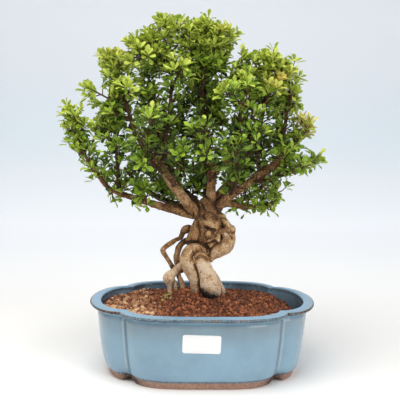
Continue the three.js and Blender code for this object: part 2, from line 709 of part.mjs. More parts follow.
// A leafy stem as one skin: the stem's rings close up in twos, and leaves are drawn out of the low
// spans between them and out of its end.
function leafyStem(path, pairs, seed, obstacles, ownStem) {
  const curve = new THREE.CatmullRomCurve3(path, false, "centripetal");
  const halfSpan = PAIR_HEIGHT / 2 / curve.getLength();
  const shares = [0];
  for (let i = 0; i < pairs; i++) {
    const middle = 1 - LEAFY_SHARE * (1 - (i + 0.4) / pairs);
    shares.push(middle - halfSpan, middle + halfSpan);
  }
  shares.push(1);
  const normal = FIRST_NORMAL.clone();
  const tangents = shares.map((t) => curve.getTangent(t));
  const rings = shares.map((t, k) => {
    normal.addScaledVector(tangents[k], -normal.dot(tangents[k])).normalize();
    const across = tangents[k].clone().cross(normal);
    const radius = THREE.MathUtils.lerp(BASE_STEM_RADIUS, TIP_STEM_RADIUS, t);
    return squareRing(curve.getPoint(t), normal, across, radius);
  });
  const points = rings.flat();
  const faces = [[3, 2, 1], [3, 1, 0]];
  const ownLeaves = [];
  const drawOut = (corners, tangent, outwards, open, leafSeed) => {
    const quad = corners.map((k) => points[k]);
    const leaf = placeLeaf(quad, tangent, outwards, open, leafSeed, obstacles, ownStem, ownLeaves);
    if (!leaf) {
      faces.push([corners[0], corners[1], corners[2]], [corners[0], corners[2], corners[3]]);
      return;
    }
    const numbers = [...corners, ...leaf.map((_, k) => points.length + k)];
    points.push(...leaf);
    LEAF_FACES.forEach((face) => faces.push(face.map((k) => numbers[k])));
  };
  for (let k = 0; k < rings.length - 1; k++) {
    const pair = (k - 1) / 2;
    for (let side = 0; side < 4; side++) {
      const a = 4 * k + side;
      const b = 4 * k + ((side + 1) % 4);
      if (k % 2 === 1 && side % 2 === pair % 2) {
        const edge = points[a].clone().lerp(points[b], 0.5);
        const outwards = edge.sub(curve.getPoint(shares[k])).normalize();
        const open = THREE.MathUtils.lerp(LOW_OPENING, TIP_OPENING, pair / pairs);
        drawOut([a, b, b + 4, a + 4], tangents[k], outwards, open, seed * 40 + k * 4 + side);
      } else {
        faces.push([a, b, b + 4], [a, b + 4, a + 4]);
      }
    }
  }
  const last = 4 * (rings.length - 1);
  drawOut([last, last + 1, last + 2, last + 3], tangents.at(-1), tangents.at(-1), 0.2, seed * 40 + 39);
  ownLeaves.forEach(({ guard }) => obstacles.push(obstacle(guard, "leaves")));
  return solidOf(facetedGeometry(points, faces.flat()));
}

function squareRing(middle, normal, across, radius) {
  return [0, 1, 2, 3].map((i) => {
    const turn = ((i - 0.5) * Math.PI) / 2;
    return middle
      .clone()
      .addScaledVector(normal, radius * Math.cos(turn))
      .addScaledVector(across, radius * Math.sin(turn));
  });
}

// The place on the wood from which a stem springs: near its tip, below it, and not taken yet.
function springPoint(tip, taken) {
  let best = null;
  for (const run of LIMBS) {
    for (let k = 4; k <= (run.length - 1) * 4; k++) {
      const span = Math.min(Math.floor(k / 4), run.length - 2);
      const share = k / 4 - span;
      const at = vectorOf(run[span]).lerp(vectorOf(run[span + 1]), share);
      const away = at.distanceTo(tip);
      const highness = Math.max(0, at.z + STEM_RISE * away - tip.z);
      const crowded = taken.some((other) => other.distanceTo(at) < FOOT_SPACING) ? CLOSE_FOOT_COST : 0;
      const thick = run[span][3] > THICK_LIMB_RADIUS ? THICK_LIMB_COST : 0;
      const cost = away + HIGH_FOOT_COST * highness + crowded + thick;
      if (!best || cost < best.cost) best = { cost, at };
    }
  }
  return best.at;
}

// The end of a stem whose last leaf reaches a place.
function stemEnd(reach, foot) {
  return reach.clone().lerp(foot, Math.min(LEAF_BEYOND_STEM / reach.distanceTo(foot), 0.4));
}

// The path of a stem from its foot to its tip: it leaves sideways and then turns up, more with its bow.
function stemPath(foot, tip, seed, bow) {
  const away = foot.distanceTo(tip);
  const lean = new THREE.Vector3(chance(seed, bow) - 0.5, chance(seed, bow + 50) - 0.5, -0.35);
  const path = [0, 0.3, 0.65, 1].map((share) => {
    const at = foot.clone().lerp(tip, share);
    return at.addScaledVector(lean, away * (FIRST_BOW + EACH_BOW * bow) * Math.sin(share * Math.PI));
  });
  return path;
}

// A bare stem, a little thicker than the real one, for trying whether its way is free.
function stemGuard(path) {
  const points = path.map((p, i) => {
    const share = i / (path.length - 1);
    return [...p.toArray(), THREE.MathUtils.lerp(BASE_STEM_RADIUS, TIP_STEM_RADIUS, share)];
  });
  return woodRun(points, 6, 2, LEAF_GUARD);
}

// Whether a solid is clear of all the obstacles but the owners named.
function isClear(solid, obstacles, owners) {
  const box = solid.boundingBox();
  return obstacles.every((other) => {
    if (owners.includes(other.owner)) return true;
    const apart = [0, 1, 2].some((k) => box.min[k] > other.box.max[k] || box.max[k] < other.box.min[k]);
    return apart || solid.intersect(other.solid).isEmpty();
  });
}

function obstacle(solid, owner) {
  return { solid, owner, box: solid.boundingBox() };
}

// All the stems first, so that the leaves of each can keep clear of the others.
function growStems(thickWood) {
  const taken = [];
  const stems = [];
  const obstacles = [obstacle(thickWood, "wood")];
  LEAFY_ENDS.forEach((ends, number) => {
    const foot = springPoint(vectorOf(ends[0]), taken);
    const tips = ends.map((end) => stemEnd(vectorOf(end), foot));
    taken.push(foot);
    let runs = null;
    for (let bow = 0; bow < STEM_BOWS; bow++) {
      const main = stemPath(foot, tips[0], number, bow);
      const paths = [main];
      if (tips.length > 1) {
        const fork = main[2].clone().lerp(main[1], 0.5);
        paths.push(stemPath(fork, tips[1], number + 100, bow));
      }
      const guards = paths.map(stemGuard);
      const upper = stemGuard([main[1].clone().lerp(foot, 0.35), main[2], main[3]]);
      const others = obstacles.slice(1);
      runs = { paths, guards };
      if (isClear(upper, [obstacles[0]], []) && guards.every((guard) => isClear(guard, others, []))) break;
    }
    runs.guards.forEach((guard) => obstacles.push(obstacle(guard, "stem " + number)));
    stems.push(runs.paths);
  });
  return { stems, obstacles };
}

function bounds(solid) {
  const { min, max } = solid.boundingBox();
  return new THREE.Box3(new THREE.Vector3(...min), new THREE.Vector3(...max));
}

const wood = wholeWood();
const thickWood = wholeWood(FIT_GAP);
const pot = makePot();
const soil = makeSoil(rootSystem(FIT_GAP));
const { stems, obstacles } = growStems(thickWood);

const object = new THREE.Group();
const whole = new THREE.Box3();

function addPiece(name, geometry, material) {
  const mesh = new THREE.Mesh(geometry, material);
  mesh.name = name;
  object.add(mesh);
  return mesh;
}

function addSolid(name, solid, material) {
  whole.union(bounds(solid));
  return addPiece(name, geometryOf(solid), material);
}

addSolid("pot", pot, GLAZE);
addSolid("soil", soil, SOIL_GRAIN);
addSolid("tree_wood", wood, BARK);

stems.forEach((paths, number) => {
  const pairs = paths.length > 1 ? FORK_PAIRS : STEM_PAIRS;
  const runs = paths.map((path, branch) =>
    leafyStem(path, pairs, 2 * number + branch, obstacles, "stem " + number),
  );
  const spray = joined(runs).subtract(thickWood);
  const largest = spray.decompose().sort((a, b) => b.volume() - a.volume())[0];
  addSolid("leafy_stem_" + String(number + 1).padStart(2, "0"), largest, LEAF);
});

for (const [name, side] of [
  ["drain_screen_left", -1],
  ["drain_screen_right", 1],
]) {
  const screen = addPiece(name, geometryOf(makeScreen()), SCREEN_PLASTIC);
  screen.position.set(side * DRAIN_HOLE_X, 0, FLOOR_TOP + FIT_GAP + SCREEN_THICKNESS / 2);
}

// The label leans with the wall behind it and stands a little clear of it.
const labelFoot = LABEL_MIDDLE_HEIGHT - LABEL_HEIGHT / 2;
const labelTop = LABEL_MIDDLE_HEIGHT + LABEL_HEIGHT / 2;
const footInset = wallInset(OUTER_WALL_FOOT, OUTER_WALL_TOP, labelFoot);
const topInset = wallInset(OUTER_WALL_FOOT, OUTER_WALL_TOP, labelTop);
const label = addPiece("label", labelGeometry(), STICKER);
label.rotation.set(Math.PI / 2 + Math.atan2(footInset - topInset, LABEL_HEIGHT), 0, 0);
label.rotateZ(LABEL_TURN);
label.position.set(
  LABEL_X,
  -(RIM_HALF_DEPTH - (footInset + topInset) / 2) - FIT_GAP,
  LABEL_MIDDLE_HEIGHT,
);

const middle = whole.getCenter(new THREE.Vector3());
object.position.set(-middle.x, -middle.y, -whole.min.z);

const bonsai = new THREE.Group();
bonsai.add(object);

export default bonsai;
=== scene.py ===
import bpy
import numpy as np
from mathutils import Matrix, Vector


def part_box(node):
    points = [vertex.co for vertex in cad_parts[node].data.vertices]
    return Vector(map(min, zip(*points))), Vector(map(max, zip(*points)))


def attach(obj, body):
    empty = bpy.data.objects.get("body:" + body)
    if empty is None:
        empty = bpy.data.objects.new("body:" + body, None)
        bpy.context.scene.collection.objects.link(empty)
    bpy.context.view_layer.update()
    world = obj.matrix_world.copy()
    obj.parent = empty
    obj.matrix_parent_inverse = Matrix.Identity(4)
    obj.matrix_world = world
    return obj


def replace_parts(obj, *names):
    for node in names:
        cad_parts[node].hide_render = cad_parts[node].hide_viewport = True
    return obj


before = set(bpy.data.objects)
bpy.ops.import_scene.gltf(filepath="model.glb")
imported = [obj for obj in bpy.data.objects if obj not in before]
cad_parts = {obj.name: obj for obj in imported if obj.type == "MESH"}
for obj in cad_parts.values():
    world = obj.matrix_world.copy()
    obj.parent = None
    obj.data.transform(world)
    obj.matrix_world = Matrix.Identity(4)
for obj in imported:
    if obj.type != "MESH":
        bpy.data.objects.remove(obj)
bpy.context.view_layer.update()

# The pot
# A four-lobed bonsai pot of brown stoneware, pressed in a mould and dipped in a light blue glaze that
# breaks brown along the rim's edge and stops above the bare foot. Its floor has two drain holes.

pot_low, pot_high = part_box("pot")
POT_MIDDLE = np.array([(pot_low.x + pot_high.x) / 2, (pot_low.y + pot_high.y) / 2, 0.0])
RIM_HALF_WIDTH, RIM_HALF_DEPTH = 122.5, 91.5
NOTCH_X, NOTCH_Y = 87.0, 61.0
END_LOBE_POWER, WIDE_LOBE_WIDTH_POWER, WIDE_LOBE_DEPTH_POWER = 0.97, 0.49, 1.35
POT_COLUMNS = 440
DRAIN_HOLE_X, DRAIN_HOLE_RADIUS, HOLE_SIDES = 50.0, 9.0, 48
FLOOR_UNDERSIDE, FLOOR_TOP = 7.0, 13.0


def in_metres(points):
    """Points in millimetres about the middle of the pot's foot, as points of the frame: divided by 1000
    and moved to that middle."""
    return np.asarray(points, float) / 1000 + POT_MIDDLE


def chance(i, j):
    """A repeatable number from 0 to 1 for each pair: the fraction of a large multiple of the sine of
    12.9898 i + 78.233 j."""
    wave = np.sin(np.asarray(i) * 12.9898 + np.asarray(j) * 78.233) * 43758.5453
    return wave - np.floor(wave)


def smooth(low, high, x):
    """0 below low, 1 above high, and 3 t^2 - 2 t^3 between them."""
    t = np.clip((np.asarray(x, float) - low) / (high - low), 0, 1)
    return t * t * (3 - 2 * t)


def band(x, low, full, falling, gone):
    """A band with soft edges: 0 below low, 1 from full to falling, and 0 again above gone."""
    return smooth(low, full, x) * (1 - smooth(falling, gone, x))


def bell(x, middle, width):
    """A bell curve round a middle: exp(-((x - middle) / width)^2)."""
    return np.exp(-(((x - middle) / width) ** 2))


def make_piece(name, points, faces, material, attributes=None, faceted=False):
    """A mesh object from whole arrays. Points are in millimetres about the pot's foot, faces a list of
    (count, corners) arrays, and attributes hold one number for each point. It rides on the root body."""
    mesh = bpy.data.meshes.new(name)
    corners = np.concatenate([f.ravel() for f in faces]).astype(np.int32)
    sizes = np.concatenate([np.full(len(f), f.shape[1]) for f in faces])
    mesh.vertices.add(len(points))
    mesh.vertices.foreach_set("co", in_metres(points).astype(np.float32).ravel())
    mesh.loops.add(len(corners))
    mesh.loops.foreach_set("vertex_index", corners)
    mesh.polygons.add(len(sizes))
    starts = np.concatenate([[0], np.cumsum(sizes)[:-1]]).astype(np.int32)
    mesh.polygons.foreach_set("loop_start", starts)
    mesh.polygons.foreach_set("use_smooth", np.full(len(sizes), not faceted))
    for key, values in (attributes or {}).items():
        layer = mesh.attributes.new(key, "FLOAT", "POINT")
        layer.data.foreach_set("value", np.asarray(values, np.float32))
    mesh.update(calc_edges=True)
    mesh.validate()
    mesh.materials.append(material)
    piece = bpy.data.objects.new(name, mesh)
    bpy.context.scene.collection.objects.link(piece)
    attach(piece, "root")
    return piece


def grid_faces(rows, columns, closed, first=0):
    """Quads between the rows of a grid of points, which closes round its columns or not. The corner
    order is row, next column, next row."""
    last = columns if closed else columns - 1
    a, k = np.meshgrid(np.arange(rows - 1) * columns, np.arange(last), indexing="ij")
    b = (k + 1) % columns
    quads = np.stack([a + k, a + b, a + b + columns, a + k + columns], -1)
    return quads.reshape(-1, 4) + first


def linear(colour):
    """An sRGB hex colour as linear numbers: c / 12.92 up to 0.04045, and ((c + 0.055) / 1.055) ^ 2.4
    above it."""
    c = np.array([int(colour[i:i + 2], 16) for i in (1, 3, 5)]) / 255
    c = np.where(c <= 0.04045, c / 12.92, ((c + 0.055) / 1.055) ** 2.4)
    return (*[float(x) for x in c], 1.0)


# The output that a node gives, where it isn't the first.
MAIN_OUTPUTS = {"Mix": 2, "Attribute": "Fac", "TexCoord": "Object"}


def add_node(tree, kind, settings=None, inputs=None, stops=None):
    """One shader node, which gives its main output. Settings go to its properties, and inputs to its
    sockets, where an output is linked, a hex colour is made linear and anything else is a value. Stops
    are the (place, colour) pairs of a ramp."""
    made = tree.nodes.new("ShaderNode" + kind)
    for key, value in (settings or {}).items():
        setattr(made, key, value)
    for key, value in (inputs or {}).items():
        if isinstance(value, bpy.types.NodeSocket):
            tree.links.new(value, made.inputs[key])
        else:
            made.inputs[key].default_value = linear(value) if isinstance(value, str) else value
    if stops:
        ramp = made.color_ramp.elements
        while len(ramp) < len(stops):
            ramp.new(0.5)
        for element, (at, colour) in zip(ramp, stops):
            element.position, element.color = at, linear(colour)
    return made.outputs[MAIN_OUTPUTS.get(kind, 0)] if made.outputs else None


def new_material(name):
    """A material with an empty node tree, with that tree and the place of each point of the object."""
    material = bpy.data.materials.new(name)
    material.use_nodes = True
    material.node_tree.nodes.clear()
    return material, material.node_tree, add_node(material.node_tree, "TexCoord")


def rounded(corners, steps=4):
    """A profile with its corners rounded: each [inset, height, cut] gives a quadratic curve from a point
    one cut before the corner to a point one cut after it."""
    corners = np.asarray(corners, float)
    points, cuts = corners[:, :2], corners[:, 2]
    made = [points[:1]]
    t = np.linspace(0, 1, steps)[:, None]
    for k in range(1, len(points) - 1):
        back, ahead = points[k - 1] - points[k], points[k + 1] - points[k]
        lengths = np.hypot(*back), np.hypot(*ahead)
        cut = min(cuts[k], 0.48 * lengths[0], 0.48 * lengths[1])
        start, end = points[k] + back / lengths[0] * cut, points[k] + ahead / lengths[1] * cut
        made.append((1 - t) ** 2 * start + 2 * t * (1 - t) * points[k] + t ** 2 * end)
    made.append(points[-1:])
    return np.concatenate(made)


END_STEPS, WIDE_STEPS = 400, 1200


def pot_plan(columns):
    """The rim's outline, one turn against the clock from the right front notch, with its distance from
    the nearest notch. In an end lobe x is the notch's x plus a power of the cosine of the turn and y the
    notch's y times its sine. A wide lobe is half of a superellipse. The columns crowd at the notches."""
    turn = (np.arange(END_STEPS) / END_STEPS - 0.5) * np.pi
    end = np.stack([NOTCH_X + (RIM_HALF_WIDTH - NOTCH_X) * np.abs(np.cos(turn)) ** END_LOBE_POWER,
                    NOTCH_Y * np.sin(turn)], 1)
    turn = np.arange(WIDE_STEPS) / WIDE_STEPS * np.pi
    along = np.sign(np.cos(turn)) * np.abs(np.cos(turn)) ** WIDE_LOBE_WIDTH_POWER
    wide = np.stack([NOTCH_X * along, NOTCH_Y + (RIM_HALF_DEPTH - NOTCH_Y)
                     * np.abs(np.sin(turn)) ** WIDE_LOBE_DEPTH_POWER], 1)
    fine = np.concatenate([end, wide, -end, -wide])
    steps = np.linalg.norm(np.roll(fine, -1, 0) - fine, axis=1)
    length = np.concatenate([[0], np.cumsum(steps)])
    notches = length[np.cumsum([0, END_STEPS, WIDE_STEPS, END_STEPS, WIDE_STEPS])]
    away = np.abs(length[:, None] - notches).min(1)
    density = 1 + 4 * bell(away, 0, 7)
    share = np.concatenate([[0], np.cumsum((density[1:] + density[:-1]) / 2 * steps)])
    wanted = np.arange(columns) / columns * share[-1]
    closed = np.concatenate([fine, fine[:1]])
    plan = np.stack([np.interp(wanted, share, closed[:, k]) for k in (0, 1)], 1)
    return plan, np.interp(wanted, share, away)


def plan_ring(plan, inset, height):
    """The outline drawn in by an inset on each half side, at a height. Inset and height may be arrays
    that go with the rows."""
    inset, height = np.broadcast_arrays(inset, height)
    x = plan[:, 0] * (RIM_HALF_WIDTH - inset) / RIM_HALF_WIDTH
    y = plan[:, 1] * (RIM_HALF_DEPTH - inset) / RIM_HALF_DEPTH
    return np.stack([x, y, height + 0 * x], -1)


plan, from_notch = pot_plan(POT_COLUMNS)
# The section from under the floor, round the foot, up the wall, over the rim and down inside: each
# corner is [inset from the rim's outer edge, height, cut].
WALL_LINE = np.array([[19.6, 6.4], [17.6, 9.5], [16.5, 12], [15.2, 17], [14.3, 22], [12.9, 31], [11.8, 40],
                      [10.8, 50], [9.9, 60], [9.2, 68], [9.05, 70.4]])
WALL_TOP, WALL_HEIGHTS = 70.9, np.linspace(6.6, 70.4, 74)
section = np.concatenate([
    rounded([[33, FLOOR_UNDERSIDE, 0], [32.4, 5, 0.5], [31, 0, 0.8], [21.5, 0, 0.8], [19.9, 5.6, 0.6],
             [19.6, 6.4, 0]]),
    np.stack([np.interp(WALL_HEIGHTS, WALL_LINE[:, 1], WALL_LINE[:, 0]), WALL_HEIGHTS], 1),
    rounded([[9.2, 71, 0], [10, 72.1, 0.8], [8.4, 73, 0.8], [3.6, 74.4, 2.2], [0.8, 76.4, 1.2],
             [0.05, 77.7, 0.5], [0.3, 78.5, 0.4], [1.6, 79.1, 0.7], [10.4, 80, 1.3], [11.9, 79.1, 0.9],
             [12.6, 75, 1.2], [13, 70, 2], [18, 28, 6], [26, FLOOR_TOP, 6], [33, FLOOR_TOP, 0]], 5),
])
rows, height = len(section), section[:, 1]
outside = np.arange(rows) < np.argmax(height > WALL_TOP)

# The wide panels of the wall stand a little proud between the creases, below the neck.
PANEL_RELIEF, FOOT_BAND_TOP, CREASE_DEPTH = 1.0, 6.3, 0.9
wall_rows = outside & (height > FOOT_BAND_TOP)
panel_up = band(height, 7.5, 11, 68.4, 70.4) * wall_rows
crease_x = smooth(1.4, 3.6, from_notch)
relief = PANEL_RELIEF * panel_up[:, None] * crease_x[None, :]
inset_grid = section[:, :1] - relief + CREASE_DEPTH * (wall_rows * smooth(6, 12, height))[:, None] \
    * bell(from_notch, 0, 1.7)[None, :]
# The foot has a low arch at each notch, on the side of the end lobe, and the wall is hollow above it.
FOOT_ARCH_HEIGHT, FOOT_HOLLOW_DEPTH = 5.2, 2.2
end_side = np.abs(plan[:, 1]) < NOTCH_Y
arch = np.exp(-(((from_notch - 9) / 6.5) ** 4)) * end_side
foot_lift = FOOT_ARCH_HEIGHT * arch[None, :] * (1 - smooth(0.0, 6.2, height))[:, None] * outside[:, None]
hollow = arch[None, :] * (bell(height, 7.5, 4) * outside)[:, None]
inset_grid += FOOT_HOLLOW_DEPTH * hollow
grid = plan_ring(plan, inset_grid, height[:, None] + foot_lift)


def joined(parts):
    """Several (points, faces, faces of another kind or more arrays) as one of each. The corners of the
    two kinds of faces count on from one part to the next, and further arrays are only put together."""
    firsts = np.cumsum([0] + [len(part[0]) for part in parts[:-1]])
    return [np.concatenate([part[k] + (first if k in (1, 2) else 0) for part, first in zip(parts, firsts)])
            for k in range(len(parts[0]))]


FLOOR_RINGS, MIDDLE_POINTS = 5, 9


def floor_sheet(level, facing_up):
    """The floor in two halves, as rays from each drain hole's edge to the outline and to the middle line:
    hole edge + t (border - hole edge)."""
    halves, ring = [], plan_ring(plan, section[-1 if facing_up else 0, 0], level)
    line = np.linspace(-1, 1, MIDDLE_POINTS) * np.abs(ring[:, 1]).max()
    line = np.stack([0 * line, line, 0 * line + level], 1)
    for side in (1, -1):
        middle = np.array([side * DRAIN_HOLE_X, 0, level])
        away = np.concatenate([ring[side * ring[:, 0] > 0.5], line]) - middle
        away = away[np.argsort(np.arctan2(away[:, 1], away[:, 0]))]
        edge = away / np.linalg.norm(away, axis=1)[:, None] * DRAIN_HOLE_RADIUS
        t = np.linspace(0, 1, FLOOR_RINGS)[:, None, None]
        quads = grid_faces(FLOOR_RINGS, len(away), True)
        points = (middle + edge + t * (away - edge)).reshape(-1, 3)
        halves.append((points, quads[:, ::-1] if facing_up else quads))
    return joined(halves)


def hole_walls():
    """The walls of the two drain holes: circles from the floor's underside to its top."""
    turn = np.linspace(0, 2 * np.pi, HOLE_SIDES, endpoint=False)
    circle = DRAIN_HOLE_RADIUS * np.stack([np.cos(turn), np.sin(turn), 0 * turn], 1)
    low, top = circle + [0, 0, FLOOR_UNDERSIDE], circle + [0, 0, FLOOR_TOP]
    return joined([(np.concatenate([low, top]) + [side * DRAIN_HOLE_X, 0, 0],
                    grid_faces(2, HOLE_SIDES, True)[:, ::-1]) for side in (1, -1)])


# Moulded stoneware under a glossy glaze: the glaze is smooth and reflects, lies thicker and bluer low on
# the wall, greyer at the shoulder, and thin and brown on sharp edges. The bare foot is matt and warm.
# Pale lines at the creases and along the panels' tops are partly thin glaze and partly painted highlight.
# The inner wall, the neck under the rim and the lip's underside are painted darker as painted shade, and
# so are the foot beside each notch and the hollow over each arch, in dark brown.
# Its clouds are 45 mm across, its streaks 14 mm and its specks 2.4 mm.
glaze, tree, place = new_material("glazed stoneware")
cloud = add_node(tree, "TexNoise", inputs={"Vector": place, "Scale": 22.0, "Detail": 4.0, "Roughness": 0.6})
speck = add_node(tree, "TexNoise", inputs={"Vector": place, "Scale": 420.0, "Detail": 2.0})
drawn_out = add_node(tree, "Mapping", inputs={"Vector": place, "Scale": (1.0, 1.0, 0.25)})
streak = add_node(tree, "TexNoise", inputs={"Vector": drawn_out, "Scale": 70.0, "Detail": 3.0})
body = add_node(tree, "ValToRGB", inputs={0: cloud},
                stops=[(0.30, "#7c9aae"), (0.45, "#82a1b4"), (0.58, "#86a6b9"), (0.72, "#89a9bb")])
# The inner wall's glaze in painted shade.
within = add_node(tree, "ValToRGB", inputs={0: cloud},
                  stops=[(0.38, "#3c4756"), (0.5, "#5f7588"), (0.62, "#7aa0b6")])
clay = add_node(tree, "ValToRGB", inputs={0: speck},
                stops=[(0.3, "#8d6a58"), (0.5, "#a68270"), (0.7, "#b3917e")])
grey, bluish, brown_and_shade, pale, bare, inner_shade = (
    add_node(tree, "Attribute", {"attribute_name": name})
    for name in ("grey", "pale_blue", "break_and_shade", "thin", "bare", "painted_shade"))
greyed = add_node(tree, "Math", {"operation": "MULTIPLY"}, {0: grey, 1: streak})
ragged = add_node(tree, "MapRange", inputs={0: speck, 1: 0.35, 2: 0.6, 3: 0.45, 4: 1.15})
broken_and_shaded = add_node(tree, "Math", {"operation": "MULTIPLY", "use_clamp": True}, {0: brown_and_shade, 1: ragged})
wander = add_node(tree, "MapRange", inputs={0: cloud, 1: 0.3, 2: 0.7, 3: -0.18, 4: 0.18})
wander = add_node(tree, "Math", {"operation": "ADD"}, {0: bare, 1: wander})
bare = add_node(tree, "MapRange", inputs={0: wander, 1: 0.45, 2: 0.55})
colour = body
# Layered over the body: grey, the rim top's blue, painted shade, pale lines that are partly painted
# highlight, bare clay, and brown breaks that are partly painted shade.
for share, layer in ((greyed, "#7c8f98"), (bluish, "#76a5c6"), (inner_shade, within), (pale, "#bcc6cd"),
                     (bare, clay), (broken_and_shaded, "#2a211f")):
    colour = add_node(tree, "Mix", {"data_type": "RGBA"}, {0: share, 6: colour, 7: layer})
matt = add_node(tree, "MapRange", inputs={0: bare, 3: 0.16, 4: 0.75})
ripple = add_node(tree, "Bump", inputs={"Strength": 0.10, "Distance": 0.002, "Height": streak})
surface = add_node(tree, "BsdfPrincipled", inputs={
    "Base Color": colour, "Roughness": matt, "IOR": 1.5, "Normal": ripple})
add_node(tree, "OutputMaterial", inputs={0: surface})

wall_points = grid.reshape(-1, 3)
wall_faces = grid_faces(rows, POT_COLUMNS, True)
pot_points, pot_faces = joined([(wall_points, wall_faces), floor_sheet(FLOOR_UNDERSIDE, False),
                                floor_sheet(FLOOR_TOP, True), hole_walls()])
v = np.repeat(np.arange(rows), POT_COLUMNS)
rest = len(pot_points) - len(wall_points)
z_here, in_here, notch_here = height[v], section[v, 0], np.tile(from_notch, rows)
before_rim = np.arange(rows)[v] <= np.argmax(height > 79.9)
# The inner wall is painted darker as painted shade, less so towards the right back, where light falls.
inner = ~before_rim & (in_here > 12)
rim_face = before_rim & (in_here < 3)
# The neck under the rim and the lip's underside are painted darker too: painted shade.
neck = band(z_here, 71.5, 73, 76.6, 77.2) * before_rim
lit = smooth(20, 80, wall_points[:, 0]) * smooth(-10, 50, wall_points[:, 1])
# Where the glaze breaks brown: round the lip, inside the rim and above the bare foot. At the foot's arches
# and in the hollow above them the same dark brown is painted shade.
lip_line = band(z_here, 75.4, 76.2, 78.8, 79.15) * rim_face * np.where(np.tile(end_side, rows), 0.88, 0.68)
inner_line = 0.9 * bell(z_here, 77.4, 1.5) * (in_here > 11.8)
foot_line = 0.9 * bell(z_here, 8.7, 1.25) * outside[v]
# Painted shade: dark brown on the foot beside each notch.
foot_shade = 0.95 * bell(notch_here, 5, 13) * (1 - smooth(7, 10, z_here)) * outside[v]
lip_shade = band(z_here, 75.2, 75.8, 77.2, 77.8) * rim_face
# Pale lines along the creases and at the panels' tops: partly thin glaze and partly painted highlight.
crease = bell(notch_here, 3.1, 0.9) * smooth(12, 18, z_here) * wall_rows[v]
panel_top = bell(z_here, 69.3, 0.8) * outside[v] * np.tile(crease_x, rows)
attributes = {
    "grey": 1.5 * smooth(42, 70, z_here) * outside[v],
    "pale_blue": smooth(79.2, 79.4, z_here) * (in_here < 11.6),
    # The breaks also carry painted shade: the foot beside each notch and the hollow over each arch.
    "break_and_shade": np.maximum.reduce([lip_line, inner_line, foot_line, foot_shade, 0.95 * hollow.ravel()]),
    "thin": np.maximum(0.75 * crease, 0.3 * panel_top),
    "bare": np.maximum((1 - smooth(6.4, 8.4, z_here)) * outside[v],
                       0.6 * lip_line * smooth(76.4, 77.0, z_here)),
    "painted_shade": np.maximum(inner * (0.95 - 0.7 * lit), 0.4 * neck + 0.5 * lip_shade),
}
pot = make_piece("glazed_pot", pot_points, [pot_faces], glaze,
                 {key: np.concatenate([value, np.full(rest, 1.0 if key == "bare" else 0.0)])
                  for key, value in attributes.items()})
merge = pot.modifiers.new("joined edges", "WELD")
merge.merge_threshold = 0.00002
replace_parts(pot, "pot")

# The soil
# Baked clay grains, red-brown and moist, heaped up round the roots, with coarser tan grains spread at
# the left. The bed is one surface, and seven thousand loose grains lie on it.

INNER_WALL_INSET, INNER_WALL_HEIGHT = np.array([26, 18, 13, 12]), np.array([13, 28, 70, 79])
SOIL_EDGE_HEIGHT, SOIL_END_DROP, SOIL_GAP = 70.5, 9.0, 0.3
SOIL_RINGS = 60
soil_plan = plan[::2]


def soil_height(x, y):
    """The edge's height, plus a mound that falls off as exp(-(u^2 + v^2) / 2) from its middle and two
    small heaps of the same kind at the roots, less a smooth fall at the right-hand end, plus low waves."""
    u, v = (x + 3) / 38, (y - 14) / 28
    heaps = sum(height * np.exp(-((x - at) ** 2 + (y - deep) ** 2) / (2 * spread ** 2))
                for at, deep, height, spread in ((-21, -4, 6.5, 13), (27, -3, 4.5, 9)))
    waves = 0.7 * np.sin(x / 7.3 + 1.3 * np.sin(y / 9.1)) * np.cos(y / 8.2 + 0.6)
    mound = 14 * np.exp(-(u * u + v * v) / 2)
    return SOIL_EDGE_HEIGHT + mound + heaps - SOIL_END_DROP * smooth(78, 108, x) + waves


def soil_border():
    """Where the bed meets the pot's inner wall: the outline drawn in by the wall's inset at the bed's
    own height there."""
    rim = plan_ring(soil_plan, np.interp(SOIL_EDGE_HEIGHT, INNER_WALL_HEIGHT, INNER_WALL_INSET), 0)
    level = soil_height(rim[:, 0], rim[:, 1])
    return plan_ring(soil_plan, np.interp(level, INNER_WALL_HEIGHT, INNER_WALL_INSET) + SOIL_GAP, level)


def fan(ring, middle):
    """Triangles from each side of a closed ring of point numbers to a middle point."""
    return np.stack([ring, np.roll(ring, -1), np.full(len(ring), middle)], 1)


border = soil_border()
columns = len(border)
share = np.linspace(1, 0, SOIL_RINGS)[:-1, None]
bed_x, bed_y = border[None, :, 0] * share, border[None, :, 1] * share
rough = 1.1 * (chance(np.arange(columns), np.arange(SOIL_RINGS - 1)[:, None]) - 0.5)
bed_z = soil_height(bed_x, bed_y) + rough * (share < 1)
lower = [plan_ring(soil_plan, inset + SOIL_GAP, level) for inset, level in ((26.0, 13.4), (18.0, 28.0))]
centre = np.array([[0, 0, 13.4], [0, 0, float(soil_height(0.0, 0.0))]])
bed_rings = np.concatenate([*lower, np.stack([bed_x, bed_y, bed_z], -1).reshape(-1, 3)])
around, count = np.arange(columns), len(bed_rings)
bed_faces = [grid_faces(SOIL_RINGS + 1, columns, True), fan(around[::-1], count),
             fan(count - columns + around, count + 1)]

# Low-fired clay: matt and dusty, dark with moisture, and darker still as painted shade for the gaps
# between the grains. Its mottling is 2 mm across.
shaded_clay_bed, tree, place = new_material("moist clay bed in painted shade")
mottle = add_node(tree, "TexNoise", inputs={"Vector": place, "Scale": 500.0, "Detail": 3.0})
colour = add_node(tree, "ValToRGB", inputs={0: mottle},
                  stops=[(0.35, "#3d2013"), (0.52, "#633722"), (0.68, "#8a4e31")])
crumbs = add_node(tree, "Bump", inputs={"Strength": 0.8, "Distance": 0.002, "Height": mottle})
surface = add_node(tree, "BsdfPrincipled", inputs={"Base Color": colour, "Roughness": 0.95, "Normal": crumbs})
add_node(tree, "OutputMaterial", inputs={0: surface})
bed = make_piece("soil_bed", np.concatenate([bed_rings, centre]), bed_faces, shaded_clay_bed)
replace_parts(bed, "soil")

